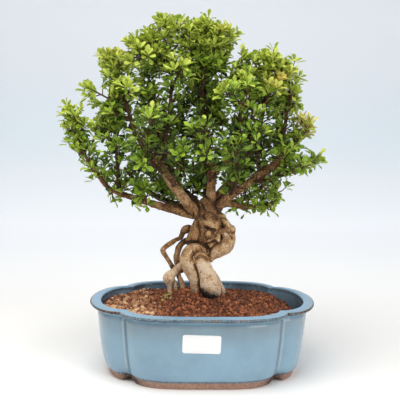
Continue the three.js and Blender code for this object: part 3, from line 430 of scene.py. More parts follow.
# A grain is an icosahedron, stretched, turned and dented by chance.
GOLD = (1 + 5 ** 0.5) / 2
ICO = np.array([[-1, GOLD, 0], [1, GOLD, 0], [-1, -GOLD, 0], [1, -GOLD, 0], [0, -1, GOLD], [0, 1, GOLD],
                [0, -1, -GOLD], [0, 1, -GOLD], [GOLD, 0, -1], [GOLD, 0, 1], [-GOLD, 0, -1], [-GOLD, 0, 1]])
ICO_FACES = np.array([[0, 11, 5], [0, 5, 1], [0, 1, 7], [0, 7, 10], [0, 10, 11], [1, 5, 9], [5, 11, 4],
                      [11, 10, 2], [10, 7, 6], [7, 1, 8], [3, 9, 4], [3, 4, 2], [3, 2, 6], [3, 6, 8],
                      [3, 8, 9], [4, 9, 5], [2, 4, 11], [6, 2, 10], [8, 6, 7], [9, 8, 1]])


def rotations(turns, one, two):
    """Rotation matrices from turns in radians, in the plane of two axes."""
    made = np.tile(np.eye(3), (len(turns), 1, 1))
    made[:, one, one] = made[:, two, two] = np.cos(turns)
    made[:, two, one] = np.sin(turns)
    made[:, one, two] = -np.sin(turns)
    return made


def scattered(count, seed):
    """Places on the bed: a point of the border by chance, drawn in by the square root of chance."""
    n = np.arange(count)
    at = (chance(n, seed) * len(border)).astype(int)
    near = border[at, :2] * (0.985 * np.sqrt(chance(n, seed + 1)))[:, None]
    return near[:, 0], near[:, 1]


GRAINS = 7000
number = np.arange(GRAINS)
x, y = scattered(GRAINS, 3)
# Tan grains lie in the left part of the pot, thickest along its front.
tan_share = (1 - smooth(-75, -38, x)) * (0.3 + 0.7 * (1 - smooth(-20, 40, y)))
tan = chance(number, 9) < 0.85 * tan_share
moss = (np.hypot(x + 38, y + 4) < 8) & (chance(number, 10) < 0.6)
size = np.where(tan, 1.3 + 1.6 * chance(number, 5) ** 2, 0.9 + 1.2 * chance(number, 5) ** 1.6)
z = soil_height(x, y) + size * (0.15 + 0.5 * chance(number, 6))
corner = ICO / np.linalg.norm(ICO[0])
dent = 1 + 0.26 * (chance(number[:, None] * 12 + np.arange(12), 8) - 0.5)
stretch = 0.72 + 0.56 * chance(number[:, None] * 3 + np.arange(3), 7)
shape = corner[None] * dent[:, :, None] * stretch[:, None, :] * size[:, None, None]
first_turn, last_turn = (rotations(2 * np.pi * chance(number, k), 0, 1) for k in (11, 13))
spin = first_turn @ rotations(np.arccos(2 * chance(number, 12) - 1), 1, 2) @ last_turn
grain_points = np.einsum("nij,nkj->nki", spin, shape) + np.stack([x, y, z], -1)[:, None]
grain_faces = (ICO_FACES[None] + 12 * number[:, None, None]).reshape(-1, 3)

# The same clay baked harder: darker or lighter grain by grain, with spots of dust, a few pale ochre grains
# and a few mossy ones.
# The dust lies in spots of about 1 mm.
grain, tree, place = new_material("baked clay grains")
own_tone, ochre, mossy = (add_node(tree, "Attribute", {"attribute_name": name})
                          for name in ("tone", "ochre", "moss"))
colour = add_node(tree, "ValToRGB", inputs={0: own_tone},
                  stops=[(0.0, "#432012"), (0.35, "#6d3820"), (0.7, "#8d4f30"), (1.0, "#bd764a")])
sand = add_node(tree, "ValToRGB", inputs={0: own_tone},
                stops=[(0.0, "#7a4a30"), (0.45, "#b07f58"), (1.0, "#e6c39c")])
dust = add_node(tree, "TexNoise", inputs={"Vector": place, "Scale": 900.0, "Detail": 2.0})
dusty = add_node(tree, "MapRange", inputs={0: dust, 1: 0.5, 2: 0.8, 3: 0.0, 4: 0.4})
for share, layer in ((ochre, sand), (mossy, "#b3a662"), (dusty, "#c9977a")):
    colour = add_node(tree, "Mix", {"data_type": "RGBA"}, {0: share, 6: colour, 7: layer})
surface = add_node(tree, "BsdfPrincipled", inputs={"Base Color": colour, "Roughness": 0.9})
add_node(tree, "OutputMaterial", inputs={0: surface})
grains = make_piece("soil_grains", grain_points.reshape(-1, 3), [grain_faces], grain,
                    {"tone": np.repeat(chance(number, 21), 12), "ochre": np.repeat(tan.astype(float), 12),
                     "moss": np.repeat(0.8 * moss, 12)},
                    faceted=True)

# The drain screens
# Two square meshes of dark moulded plastic that lie over the drain holes under the soil.

# Moulded polypropylene: dark and half matt. Its grain is drawn at 1.7 mm, coarser than the real one.
plastic, tree, place = new_material("moulded polypropylene")
grainy = add_node(tree, "TexNoise", inputs={"Vector": place, "Scale": 600.0, "Detail": 2.0})
colour = add_node(tree, "ValToRGB", inputs={0: grainy}, stops=[(0.3, "#1d2123"), (0.7, "#2b3032")])
surface = add_node(tree, "BsdfPrincipled", inputs={"Base Color": colour, "Roughness": 0.55})
add_node(tree, "OutputMaterial", inputs={0: surface})
for name in ("drain_screen_left", "drain_screen_right"):
    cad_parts[name].data.materials.clear()
    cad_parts[name].data.materials.append(plastic)

# The trunk and roots
# Old wood that has grown round itself: a twisted trunk with knobs and deep folds on two thick legs and
# several thin roots. It is one skin over runs of wood, which keep a crease where they meet, painted dark
# as painted shade.

# Each run of wood is (tone from dark 0 to cream 1, points [x, y, z, radius]), from the trunk outwards.
TRUNK = [
    # The core, the slab at its left, the fold that hangs out at the right, and the wood behind it.
    (0.60, [[4.2, 12, 180.2, 10.4], [4.9, 12, 172.5, 13.4], [5.5, 12, 163.6, 15], [5.7, 12, 154.7, 16.5],
            [4.7, 13, 145.7, 16], [3.8, 14, 137.7, 13.3], [5, 15, 130.8, 8.9]]),
    (0.58, [[-3.3, 8, 160.7, 7.7], [-6.6, 6, 153.2, 8.3], [-10.3, 6, 146.6, 7.2], [-14, 8, 141.3, 5.3]]),
    (0.85, [[18.1, 12, 168.2, 5.1], [22.6, 11, 163.9, 4.8], [26.9, 9, 157.6, 4.6], [28.3, 8, 150, 7],
            [27.7, 8, 142.2, 8.6], [23.9, 7, 135.7, 8.9], [16.8, 6, 131.8, 8.2], [11.4, 6, 126.8, 5.8],
            [9.2, 5, 120.8, 2.8]]),
    (0.40, [[16, 15, 168, 5.5], [20.5, 14, 160, 6], [21, 14, 148, 7]]),
    # Knobs.
    (0.62, [[6.6, 0.5, 168.6, 3.7], [6.8, 0.5, 167.6, 3.7]]),
    (0.70, [[-1.5, -1.5, 163.4, 2.6], [3, -2.5, 163.2, 2.9], [8.3, -3, 163.2, 3.2]]),
    (0.74, [[14.8, -0.5, 163, 4.3], [14.4, -0.8, 161, 4.3]]),
    (0.80, [[9.5, -2.6, 160.4, 2.6], [13.5, -2.4, 158.9, 2.6]]),
    (0.76, [[5.2, -1.9, 151.6, 4.6], [6, -1.9, 150.6, 4.6]]),
    (0.97, [[23.2, 1.2, 153.4, 4.4], [25.2, 1.2, 148.8, 4.4]]),
    (0.80, [[17.2, -1.4, 149.8, 2], [17.2, -1.4, 149.2, 2]]),
    (0.92, [[16.2, -1.8, 146, 2.6], [16, -1.8, 144.6, 2.6]]),
    (0.70, [[32.6, 8, 155.8, 3.3], [33, 8, 154.8, 3.3]]),
    (0.85, [[20.4, 7.5, 169.6, 3.6], [22, 8, 169, 3.4]]),
    (0.78, [[2.8, -3, 144, 1.5], [7.5, -3.5, 145, 1.7], [12, -2.6, 146.6, 1.4]]),
]
ROOTS = [
    # The left leg, which arches over the top of the right leg, and the right leg, the thickest.
    (0.79, [[4.7, 6, 130.1, 5], [-4.2, 1, 133.5, 6.1], [-12.4, -2, 133.5, 6.8], [-17.3, -3, 127.6, 7],
            [-17.2, -3, 120.4, 7.6], [-13.6, -2, 113, 8], [-9.9, -1, 106, 8], [-7.6, 0, 98.9, 6.8],
            [-7.4, 2, 87.8, 5.9], [-7.2, 3, 70, 4.8]]),
    (0.93, [[-4.7, -1, 125.1, 5.6], [-1.8, -2, 120.9, 8.6], [0.8, -3, 115.1, 9], [3.6, -4, 108.7, 9.1],
            [6.3, -5, 102.3, 10], [8.4, -5, 94.5, 11.2], [10, -4, 87, 10.4], [11.5, -2, 70, 7]]),
    # The collar over the top of the right leg.
    (0.72, [[-10.5, -8.5, 120.4, 1], [-9.4, -10.5, 126.2, 1.3], [-6.1, -11, 130.3, 1.4],
            [-1.8, -11, 131.4, 1.4], [2.6, -10.5, 129.4, 1.4], [5.7, -9, 125, 1.2]]),
    # A thin root that is grown to the right leg's side.
    (0.90, [[12.2, 2, 107.4, 2.8], [15.8, 1, 100.2, 3.4], [19.8, 1, 91.9, 3.6], [23.5, 2, 84, 3.2],
            [27, 4, 70, 2.6]]),
    # The knotted root that stands out at the left, and the upright one beside it.
    (0.5, [[-10.8, 12, 152.4, 4.4], [-16.3, 12, 153.9, 4.8], [-20.1, 12, 152.7, 4.3], [-22.9, 12, 148.7, 3.1],
            [-25, 12, 144.4, 3], [-30, 12, 141.7, 2.6], [-37.1, 12, 137.2, 2.6], [-43.6, 10, 130.8, 2.8],
            [-40.2, 12, 122.9, 2.5], [-35.8, 13, 115.6, 2.5], [-31.3, 14, 108.8, 2.7]]),
    (0.56, [[-15.1, 13, 141, 3.8], [-21.7, 14, 138.6, 3.5], [-26.2, 15, 132.8, 3.4], [-27.9, 15, 126, 3.4],
            [-28.3, 15, 119.3, 3.5], [-26.7, 14, 112.8, 3.4], [-23, 12, 107.6, 3.1]]),
    # The swollen root at the far left, and two short ones under it.
    (0.88, [[-18, 3, 119.5, 4], [-27.7, 7, 110.7, 4.2], [-32.3, 6, 105.7, 4.8], [-37.1, 5, 100.5, 6.5],
            [-37.5, 5, 97.1, 4.6], [-36, 7, 91.6, 2.6], [-35.3, 8, 70, 2.4]]),
    (0.84, [[-32.2, 8, 98.2, 2.4], [-29.5, 8, 90, 2.8], [-29.8, 8, 70, 2.4]]),
    (0.80, [[-25.6, 11, 108.5, 3], [-26.2, 10, 102.3, 2.8], [-22.6, 9, 93.5, 3.3], [-21.4, 9, 70, 2.9]]),
]
LIMBS = [
    # The low limb at the left, the one that ends in a stub, the middle one with its side stub, and the
    # one at the right that ends in a cut.
    [[-5.6, 12, 172.4, 8.2], [-17.1, 10, 172.9, 6.1], [-27.6, 9, 174.9, 5.1], [-45.1, 8, 179.5, 4.2],
     [-69, 7, 187, 3.6], [-91, 10, 193, 2.9], [-105, 12, 200, 2.5], [-115, 12, 212, 2.2],
     [-135, 14, 243, 1.5]],
    [[-5.6, 10, 171.5, 7.4], [-14, 6, 179.6, 6.6], [-23.4, 3, 191.8, 5.8], [-31.6, 1, 201.7, 5.4],
     [-39.9, 0, 213.6, 5.2], [-48, 0, 225.9, 4.9], [-52.9, 0, 233.9, 4.6]],
    [[6, 12, 172.5, 11], [8, 12, 181.4, 7.6], [9, 12, 197.9, 5.4], [8.8, 12, 208.9, 4.8],
     [8.2, 13, 223.1, 4.6]],
    [[9.1, 12, 216.6, 4.2], [18.7, 8, 224.1, 3.8], [29.2, 5, 230.9, 3.5]],
    [[10.9, 12, 173.7, 8.2], [19.9, 9, 183.5, 5.6], [30.6, 7, 193.1, 4.8], [45, 5, 203.9, 4.6],
     [72.9, 5, 223.7, 4.6], [85.9, 6, 232.7, 4.6]],
    [[12, 16, 174, 5.5], [21, 20, 181, 3.5], [32, 22, 181, 3.1], [47, 22, 178, 2.8], [61, 20, 179, 2.2],
     [76, 18, 183, 1.7]],
    [[12, 14, 185, 5], [21, 22, 197, 4.2], [39, 34, 217, 3.4], [48, 40, 230, 2.7]],
    [[-93, 10, 193, 2.3], [-93, 5, 210, 2.1], [-94, 4, 230, 1.9], [-97, 6, 262, 1.5]],
    [[-52, 0, 232, 3], [-64, -2, 242, 2.6], [-71, -4, 254, 2.3], [-77, -4, 268, 2.1], [-85, -3, 295, 1.7],
     [-90, 0, 315, 1.4]],
    [[-48, 1, 224, 2.6], [-44, 7, 248, 2.3], [-38, 10, 279, 2.1], [-36, 12, 308, 1.8], [-35, 12, 336, 1.5]],
    [[-53, 1, 232, 2.4], [-51, 14, 252, 2.1], [-53, 20, 275, 2], [-63, 22, 308, 1.5]],
    [[7, 12, 222, 3.5], [6, 14, 242, 2.8], [1, 17, 268, 2.3], [-2, 17, 300, 1.9], [-3, 15, 337, 1.4]],
    [[6, 13, 222, 3.1], [-4, 32, 244, 2.6], [-19, 44, 266, 2], [-25, 48, 283, 1.7]],
    [[28, 6, 232, 2.6], [36, 1, 256, 2.1], [38, -2, 287, 1.7], [39, -4, 309, 1.4]],
    [[61, 5, 218, 2.6], [57, 3, 240, 2.2], [61, 4, 270, 1.8], [68, 6, 307, 1.4]],
    [[82, 6, 232, 2.7], [86, 11, 253, 2.2], [90, 15, 283, 1.8], [93, 16, 310, 1.4]],
    [[80, 6, 231, 2.4], [93, 4, 244, 1.9], [102, 4, 255, 1.5]],
    [[43, 6, 204, 2.6], [44, -12, 222, 2.1], [45, -28, 244, 1.9], [48, -34, 288, 1.3]],
    [[50, 5, 209, 2.4], [65, -2, 210, 1.9], [93, -2, 219, 1.5], [107, 2, 225, 1.3]],
    [[-33, 1, 202, 2.6], [-31, -22, 215, 2.1], [-28, -42, 228, 1.8], [-26, -56, 244, 1.5]],
    [[7, 10, 208, 2.7], [4, -16, 220, 2.1], [2, -40, 234, 1.9], [1, -58, 250, 1.4]],
    [[30, 6, 194, 2.6], [33, -18, 205, 2.1], [33, -38, 219, 1.8], [33, -54, 237, 1.4]],
    [[-43, 0, 217, 2.4], [-52, -22, 226, 1.9], [-60, -38, 238, 1.6], [-65, -46, 253, 1.3]],
    [[-3, 18, 179, 5.5], [-14, 42, 188, 4.1], [-28, 62, 200, 3.5], [-40, 78, 217, 2.8], [-47, 88, 238, 2.1]],
    [[9, 18, 179, 5.5], [22, 44, 188, 3.9], [37, 68, 200, 3.3], [47, 82, 218, 2.6], [53, 90, 239, 1.9]],
    [[4, 18, 186, 5.5], [4, 44, 197, 3.9], [4, 66, 212, 3.2], [3, 84, 231, 2.6], [2, 94, 255, 1.9]],
    [[-10, 16, 173, 4.4], [-34, 34, 180, 3.4], [-55, 50, 187, 3], [-74, 60, 199, 2.5], [-90, 66, 217, 1.8]],
    [[24, 22, 180, 3.3], [50, 44, 186, 2.7], [69, 56, 197, 2.4], [85, 64, 213, 2], [97, 68, 231, 1.5]],
]
# The knobs are the runs of the trunk from the first knob on, and the limbs from the first back limb on lie
# behind it and are painted dark as painted shade. Limbs thicker than THICK belong to the field: its points
# are one STEP apart, and it is FAR where no run of wood is in REACH.
FIRST_KNOB, FIRST_BACK_LIMB = 4, 23
THICK, STEP, FAR, REACH = 3.3, 0.71, 30.0, 7
FIELD_LOW, FIELD_HIGH = np.array([-58.0, -22, 66]), np.array([60.0, 70, 232])
LIMB_BLEND, KNOB_BLEND, RUN_BLEND = 1.6, 3.0, 0.9


def run_curve(run, per_span):
    """Points and radii along a run: a centripetal Catmull-Rom curve through its points, whose tangents
    weigh each neighbour by the square root of its distance, with the radii blended evenly."""
    run = np.asarray(run, float)
    p = np.concatenate([2 * run[:1] - run[1:2], run, 2 * run[-1:] - run[-2:-1]])[:, :3]
    gap = np.linalg.norm(np.diff(p, axis=0), axis=1)[:, None] ** 0.5
    d0, d1, d2 = gap[:-2], gap[1:-1], gap[2:]
    m1 = ((p[1:-2] - p[:-3]) / d0 - (p[2:-1] - p[:-3]) / (d0 + d1) + (p[2:-1] - p[1:-2]) / d1) * d1
    m2 = ((p[2:-1] - p[1:-2]) / d1 - (p[3:] - p[1:-2]) / (d1 + d2) + (p[3:] - p[2:-1]) / d2) * d1
    a, b = p[1:-2, None], p[2:-1, None]
    m1, m2 = m1[:, None], m2[:, None]
    t = (np.arange(per_span) / per_span)[None, :, None]
    made = a + m1 * t + (3 * (b - a) - 2 * m1 - m2) * t ** 2 + (2 * (a - b) + m1 + m2) * t ** 3
    made = np.concatenate([made.reshape(-1, 3), run[-1:, :3]])
    return made, np.interp(np.linspace(0, len(run) - 1, len(made)), np.arange(len(run)), run[:, 3])


def unit(vectors):
    """Vectors divided by their lengths."""
    return vectors / np.maximum(np.linalg.norm(vectors, axis=-1, keepdims=True), 1e-9)


counts = np.ceil((FIELD_HIGH - FIELD_LOW) / STEP).astype(int) + 1
field, second = np.full(counts, FAR, np.float32), np.full(counts, FAR, np.float32)
tone = np.zeros(counts, np.float32)
axis_places = [low + STEP * np.arange(count) for low, count in zip(FIELD_LOW, counts)]


def near_box(low, high):
    """The slices of the field that cover a box."""
    first = np.clip(np.floor((low - FIELD_LOW) / STEP).astype(int), 0, counts)
    last = np.clip(np.ceil((high - FIELD_LOW) / STEP).astype(int) + 1, 0, counts)
    return tuple(slice(a, b) for a, b in zip(first, last))


def capsule_distance(box, a, b, ra, rb):
    """Distance from a tapered capsule: to the nearest point of its axis, less the radius blended there."""
    x, y, z = np.meshgrid(*[axis_places[k][box[k]] for k in range(3)], indexing="ij", sparse=True)
    ab = b - a
    t = ((x - a[0]) * ab[0] + (y - a[1]) * ab[1] + (z - a[2]) * ab[2]) / max(ab @ ab, 1e-6)
    t = np.clip(t, 0, 1)
    away = np.sqrt((x - a[0] - t * ab[0]) ** 2 + (y - a[1] - t * ab[1]) ** 2 + (z - a[2] - t * ab[2]) ** 2)
    return away - (ra + t * (rb - ra))


def grow(points, radii, shade, blend, keeps_crease=True):
    """Joins one run to the field. The run by itself is the least distance from its capsules. It joins
    with a smooth minimum: the lesser distance, less k s (1 - s) where the two are within k of each
    other, with s the run's share there. The tones mix in that share. The second field holds the
    distance to the second nearest run."""
    pad = radii.max() + REACH
    box = near_box(points.min(0) - pad, points.max(0) + pad)
    if min(s.stop - s.start for s in box) < 2:
        return
    own = np.full([s.stop - s.start for s in box], FAR, np.float32)
    for a, b, ra, rb in zip(points[:-1], points[1:], radii[:-1], radii[1:]):
        reach = max(ra, rb) + REACH
        part = near_box(np.minimum(a, b) - reach, np.maximum(a, b) + reach)
        if min(s.stop - s.start for s in part) < 2:
            continue
        inner = tuple(slice(p.start - s.start, p.stop - s.start) for p, s in zip(part, box))
        own[inner] = np.minimum(own[inner], capsule_distance(part, a, b, ra, rb))
    old = field[box]
    if keeps_crease:
        second[box] = np.minimum(second[box], np.maximum(old, own))
    share = np.clip(0.5 + 0.5 * (old - own) / blend, 0, 1)
    field[box] = old + (own - old) * share - blend * share * (1 - share)
    tone[box] += (shade - tone[box]) * share


for number, limb in enumerate(LIMBS):
    points, radii = run_curve(limb, 8)
    thick = radii > THICK
    if thick.sum() > 1:
        # The back limbs get a tone of 0.1: painted shade behind the trunk.
        slim, shade = (0.75, 0.1) if number >= FIRST_BACK_LIMB else (0.95, 0.7 if number == 1 else 0.56)
        grow(points[thick], slim * radii[thick], shade, LIMB_BLEND, len(limb) > 3)
for number, (shade, run) in enumerate(TRUNK + ROOTS):
    points, radii = run_curve(run, 8)
    is_knob = FIRST_KNOB <= number < len(TRUNK) or run[0][3] < 1.5
    grow(points, radii, shade, KNOB_BLEND if is_knob else RUN_BLEND, not is_knob)


def front_of(places):
    """Points [x, z] put on the front face of the wood: the first y at which the field is negative."""
    at = np.round((np.asarray(places, float) - FIELD_LOW[[0, 2]]) / STEP).astype(int)
    columns = field[at[:, 0], :, at[:, 1]] < 0
    return np.stack([places[:, 0], FIELD_LOW[1] + STEP * columns.argmax(1), places[:, 1]], 1)


# Creases and folds on the front of the trunk: radius of the cut, then its points [x, z].
CREASES = [
    # From the left, under the slab, to the corner of the fold.
    (1, [[-20.7, 139.8], [-16.9, 141.4], [-12, 142.4], [-6.6, 141.8], [-2.3, 140.7], [1, 139.9],
          [4.8, 140.6], [8.6, 142.4], [12.9, 143.1], [17.2, 142.2], [19.9, 144.4]]),
    # The hollow between the arch, the slab and the fold.
    (2.4, [[2.7, 138.3], [5.4, 135.6], [4.9, 132.3]]),
    # The slot under the light bar.
    (2, [[3.8, 158.5], [6.7, 157.4], [10, 156.1], [12.7, 155.3]]),
    # Wrinkles between the slot and the long crease.
    (0.6, [[2.6, 144.7], [6.3, 146.2], [10.7, 147.4], [13.9, 148.8]]),
    (0.6, [[3.7, 142.1], [7.5, 143.4], [11.8, 145.1], [15.1, 143.4]]),
    (0.5, [[9, 154.4], [11, 154.2], [11.4, 152.2], [9.7, 151.8], [8.8, 153.3]]),
    # The fold: over the ringed knob and down to the right.
    (0.9, [[17.8, 160.4], [19.6, 157.6], [23.5, 156.7], [27, 153.7], [29.4, 149.6], [32.2, 146.1]]),
    (0.9, [[34.6, 152.5], [32.1, 151.6], [30.3, 153.7]]),
    (0.8, [[18.2, 167], [21.2, 167.8], [24, 167.1], [26, 165.5]]),
    (0.7, [[12.7, 171], [14.4, 167.5], [17.3, 165.2], [18.7, 161.5]]),
    # Cracks of the neck.
    (0.5, [[-4.2, 185.2], [-0.3, 181.5], [1.1, 177], [4.2, 175.5], [8.5, 174.9], [12, 173.2]]),
    (0.5, [[1.2, 173.9], [-0.1, 170.2], [2.3, 167]]),
    (0.35, [[-6.8, 181.3], [-7.7, 176.4], [-5.5, 172.8], [-3.3, 169.3]]),
    (0.3, [[-6.6, 167.1], [-7.3, 169.7], [-5.3, 170.8], [-4, 168.9], [-5.4, 167.1]]),
    (0.5, [[-10.8, 173.7], [-10.2, 168.8], [-10.9, 164.4], [-9.8, 160.1]]),
    (0.35, [[15, 178.3], [15.9, 174.5], [14.4, 171.2]]),
    # Rings on the slab.
    (0.5, [[-7.9, 158.6], [-5.6, 160.6], [-3.2, 159.3], [-4, 156.9]]),
    (0.5, [[1.6, 160.2], [1.4, 155.3], [1.8, 150.4], [3.6, 146.7]]),
    # Between the legs, and wrinkles on them.
    (0.45, [[-10.2, 118.5], [-7.5, 114.1], [-4.9, 109.7], [-2.9, 105.3], [-3.2, 99.8], [-3, 94.8]]),
    (0.4, [[-1.4, 111.7], [-3.3, 109.3]]),
    (0.45, [[-11.5, 133.4], [-9.4, 130.1]]),
    (0.45, [[-2.6, 135], [0, 132.2]]),
]


def turned(middle, u, v, tilt):
    """Points [x, z] at u and v from a middle, turned round it by a tilt."""
    return np.stack([middle[0] + u * np.cos(tilt) - v * np.sin(tilt),
                     middle[1] + u * np.sin(tilt) + v * np.cos(tilt)], 1)


# Rings round the two large knobs of the front, and a smaller one on the cream knob: width of the cut, then
# middle, half width, half height and tilt of the ellipse.
KNOB_RINGS = [(0.45, (5.7, 151.3), 4.3, 4.7, 0), (0.6, (24.2, 151), 4.6, 6.2, 0.35),
              (0.35, (24.2, 151.2), 2.6, 3.6, 0.35)]
turn = np.linspace(0, 2 * np.pi, 13)
CREASES += [(radius, turned(middle, half_x * np.cos(turn), half_z * np.sin(turn), tilt))
            for radius, middle, half_x, half_z, tilt in KNOB_RINGS]
crease_parts = []
for radius, places in CREASES:
    curve, _ = run_curve([[x, 0, z, radius] for x, z in places], 3)
    line = front_of(curve[:, [0, 2]])
    crease_parts += [(radius, a, b) for a, b in zip(line[:-1], line[1:])]
# The creases are cut into the field with a smooth maximum.
CUT_BLEND, CUT_REACH, CUT_SHARE = 0.8, 6, 0.8
for radius, a, b in crease_parts:
    box = near_box(np.minimum(a, b) - CUT_REACH, np.maximum(a, b) + CUT_REACH)
    cut = -capsule_distance(box, a, b, CUT_SHARE * radius, CUT_SHARE * radius)
    share = np.clip(0.5 + 0.5 * (cut - field[box]) / CUT_BLEND, 0, 1)
    field[box] += (cut - field[box]) * share + CUT_BLEND * share * (1 - share)


def blended(t, value_at):
    """The values at the eight corners of a cell, weighed by t or 1 - t along each axis."""
    total = 0
    for corner in np.ndindex(2, 2, 2):
        total = total + np.prod(np.where(corner, t, 1 - t), axis=1) * value_at(*corner)
    return total


def lattice_noise(points, size, seed):
    """Value noise from -1 to 1: numbers by chance at the corners of cubes of that size, blended inside
    each cube by 3 t^2 - 2 t^3."""
    i, j, k = np.floor(points / size).T
    return 2 * blended(smooth(0, 1, points / size - np.floor(points / size)),
                       lambda a, b, c: chance(i + a + 57 * (j + b), 113 * (k + c) + seed)) - 1


near = np.nonzero(np.abs(field) < 3)
spots = np.stack([axis_places[k][near[k]] for k in range(3)], 1)
old_wood = 1 - tone[near]
lumps = 0.5 * lattice_noise(spots, 6.5, 1) + 0.3 * lattice_noise(spots, 3.1, 2) * (0.4 + old_wood)
lumps += 0.24 * lattice_noise(spots * [1, 1, 0.4], 1.5, 3) * old_wood
# Between two runs the skin is drawn in a little further.
lumps += 0.9 * bell(second[near], field[near], 0.8)
field[near] += lumps.astype(np.float32)


def field_skin():
    """The zero surface of the field as quads. Each cell that it crosses gets one point, the middle of
    the crossings on the cell's edges, and each edge that crosses gets a quad of the four cells round it."""
    cells = tuple(counts - 1)
    total, hits = np.zeros(cells + (3,), np.float32), np.zeros(cells, np.float32)
    edges = []
    for axis in range(3):
        low = field[tuple(slice(0, -1) if k == axis else slice(None) for k in range(3))]
        high = field[tuple(slice(1, None) if k == axis else slice(None) for k in range(3))]
        crosses = (low < 0) != (high < 0)
        t = np.where(crosses, low / np.where(low == high, 1, low - high), 0)
        one, two = (axis + 1) % 3, (axis + 2) % 3
        for shift_one in (0, 1):
            for shift_two in (0, 1):
                shifts = {axis: 0, one: shift_one, two: shift_two}
                part = tuple(slice(shifts[k], shifts[k] + cells[k]) for k in range(3))
                hits += crosses[part]
                total[..., axis] += t[part]
                total[..., one] += crosses[part] * shift_one
                total[..., two] += crosses[part] * shift_two
        edges.append((axis, one, two, crosses, low < 0))
    used = hits > 0
    number = np.full(cells, -1, np.int64)
    number[used] = np.arange(used.sum())
    at = np.argwhere(used) + total[used] / hits[used][:, None]
    quads = []
    for axis, one, two, crosses, starts_inside in edges:
        where = np.argwhere(crosses)
        inner = (where[:, one] > 0) & (where[:, two] > 0) & (where[:, one] < cells[one]) \
            & (where[:, two] < cells[two])
        where = where[inner]
        quad = []
        for back_one, back_two in ((1, 1), (0, 1), (0, 0), (1, 0)):
            cell = where.copy()
            cell[:, one] -= back_one
            cell[:, two] -= back_two
            quad.append(number[tuple(cell.T)])
        quad = np.stack(quad, 1)
        facing = starts_inside[tuple(where.T)]
        quads.append(np.where(facing[:, None], quad, quad[:, ::-1]))
    return FIELD_LOW + STEP * at, np.concatenate(quads)


def sample(grid, points):
    """A grid's values at points, blended between the eight nearest."""
    q = np.clip((points - FIELD_LOW) / STEP, 0, counts - 1.001)
    i, j, k = q.astype(int).T
    return blended(q - q.astype(int), lambda a, b, c: grid[i + a, j + b, k + c])


wood_points, wood_faces = field_skin()
x, y, z = wood_points.T
slope = unit(np.stack([sample(field, wood_points + d) - sample(field, wood_points - d)
                       for d in 0.8 * np.eye(3)], 1))
# How closed in a point is: the field a little way out from the skin is less than that way in a fold.
# Closed-in points are painted darker: painted shade.
closed_in, deep = (np.clip(1 - sample(field, wood_points + out * slope) / out, 0, 1) for out in (1.6, 4.5))
from_crease = np.full(len(wood_points), 9.0)
for radius, a, b in crease_parts:
    ab = b - a
    t = np.clip(((wood_points - a) @ ab) / max(ab @ ab, 1e-6), 0, 1)
    away = np.linalg.norm(wood_points - a - t[:, None] * ab, axis=1) - radius
    from_crease = np.minimum(from_crease, away)
# Painted shade: creases, the seams between runs and closed-in places are painted dark.
crease_shade = 0.8 * bell(np.maximum(from_crease + 0.3, 0), 0, 0.45)
seam_shade = 0.5 * bell(sample(second, wood_points), sample(field, wood_points), 0.7)
painted_fold_shade = crease_shade + seam_shade + 0.24 * smooth(0.6, 1.0, closed_in) + 0.12 * smooth(0.6, 1.0, deep)
# The right leg's front is painted dark low down, partly a wet stain and partly painted shade on its
# lower left, with a ragged edge that falls to the right.
speckled = 2.2 * lattice_noise(wood_points, 4, 5) + 1.6 * lattice_noise(wood_points, 1.4, 15)
wet_and_shade = smooth(-3.5, -1, x) * (1 - smooth(16, 21, x + speckled)) \
    * (1 - smooth(-4, 3.5, z - (93 - 0.3 * x + speckled))) * (y < 2)
# The lower ends of all the roots are stained by the wet soil.
stain = 0.45 * (1 - smooth(0.5, 6, z - soil_height(x, y) + 2.5 * lattice_noise(wood_points, 5, 7)))
aged = 0.14 * smooth(114, 134, z) + 0.15 * band(z, 164, 172, 180, 192)
# A little cream where the wood bulges out, and brown in the hollows.
bulge = np.clip(sample(field, wood_points + 3.5 * slope) - 3.1, -1, 1)

# Barberry bark: thin, grey-brown and lined on the limbs, worn to smooth cream-tan wood on the roots,
# with small brown pores. Its folds, creases and the seams between its runs are painted nearly black as
# painted shade, and the right leg's foot is painted dark, partly a wet stain and partly painted shade.
# Its relief is a fraction of a millimetre.
# Its patches are 10 mm across, its grain 2 mm, its pores 7 mm apart and its plates 3 mm wide.
bark, tree, place = new_material("barberry bark")
patch = add_node(tree, "TexNoise", inputs={"Vector": place, "Scale": 95.0, "Detail": 5.0, "Roughness": 0.65})
fine = add_node(tree, "TexNoise", inputs={"Vector": place, "Scale": 520.0, "Detail": 4.0, "Roughness": 0.7})
toned, fold_shade_share, wet_and_shaded = (add_node(tree, "Attribute", {"attribute_name": name})
                         for name in ("tone", "fold_shade", "wet_and_shade"))
for mottle in (patch, fine):
    shift = add_node(tree, "MapRange", inputs={0: mottle, 1: 0.3, 2: 0.7, 3: -0.26, 4: 0.22})
    toned = add_node(tree, "Math", {"operation": "ADD"}, {0: toned, 1: shift})
colour = add_node(tree, "ValToRGB", inputs={0: toned},
                  stops=[(0.0, "#452b15"), (0.25, "#7f552d"), (0.5, "#b28552"), (0.72, "#d0a677"),
                         (0.95, "#efd5b6")])
pores = add_node(tree, "TexVoronoi", inputs={"Vector": place, "Scale": 150.0})
pore = add_node(tree, "MapRange", inputs={0: pores, 1: 0.09, 2: 0.16, 3: 0.75, 4: 0.0})
plates = add_node(tree, "TexVoronoi", {"feature": "DISTANCE_TO_EDGE"}, {"Vector": place, "Scale": 330.0})
crack = add_node(tree, "MapRange", inputs={0: plates, 1: 0.02, 2: 0.16, 3: 0.75, 4: 0.0})
aged_bark = add_node(tree, "MapRange", inputs={0: toned, 1: 0.3, 2: 0.8, 3: 1.0, 4: 0.08})
crack = add_node(tree, "Math", {"operation": "MULTIPLY"}, {0: crack, 1: aged_bark})
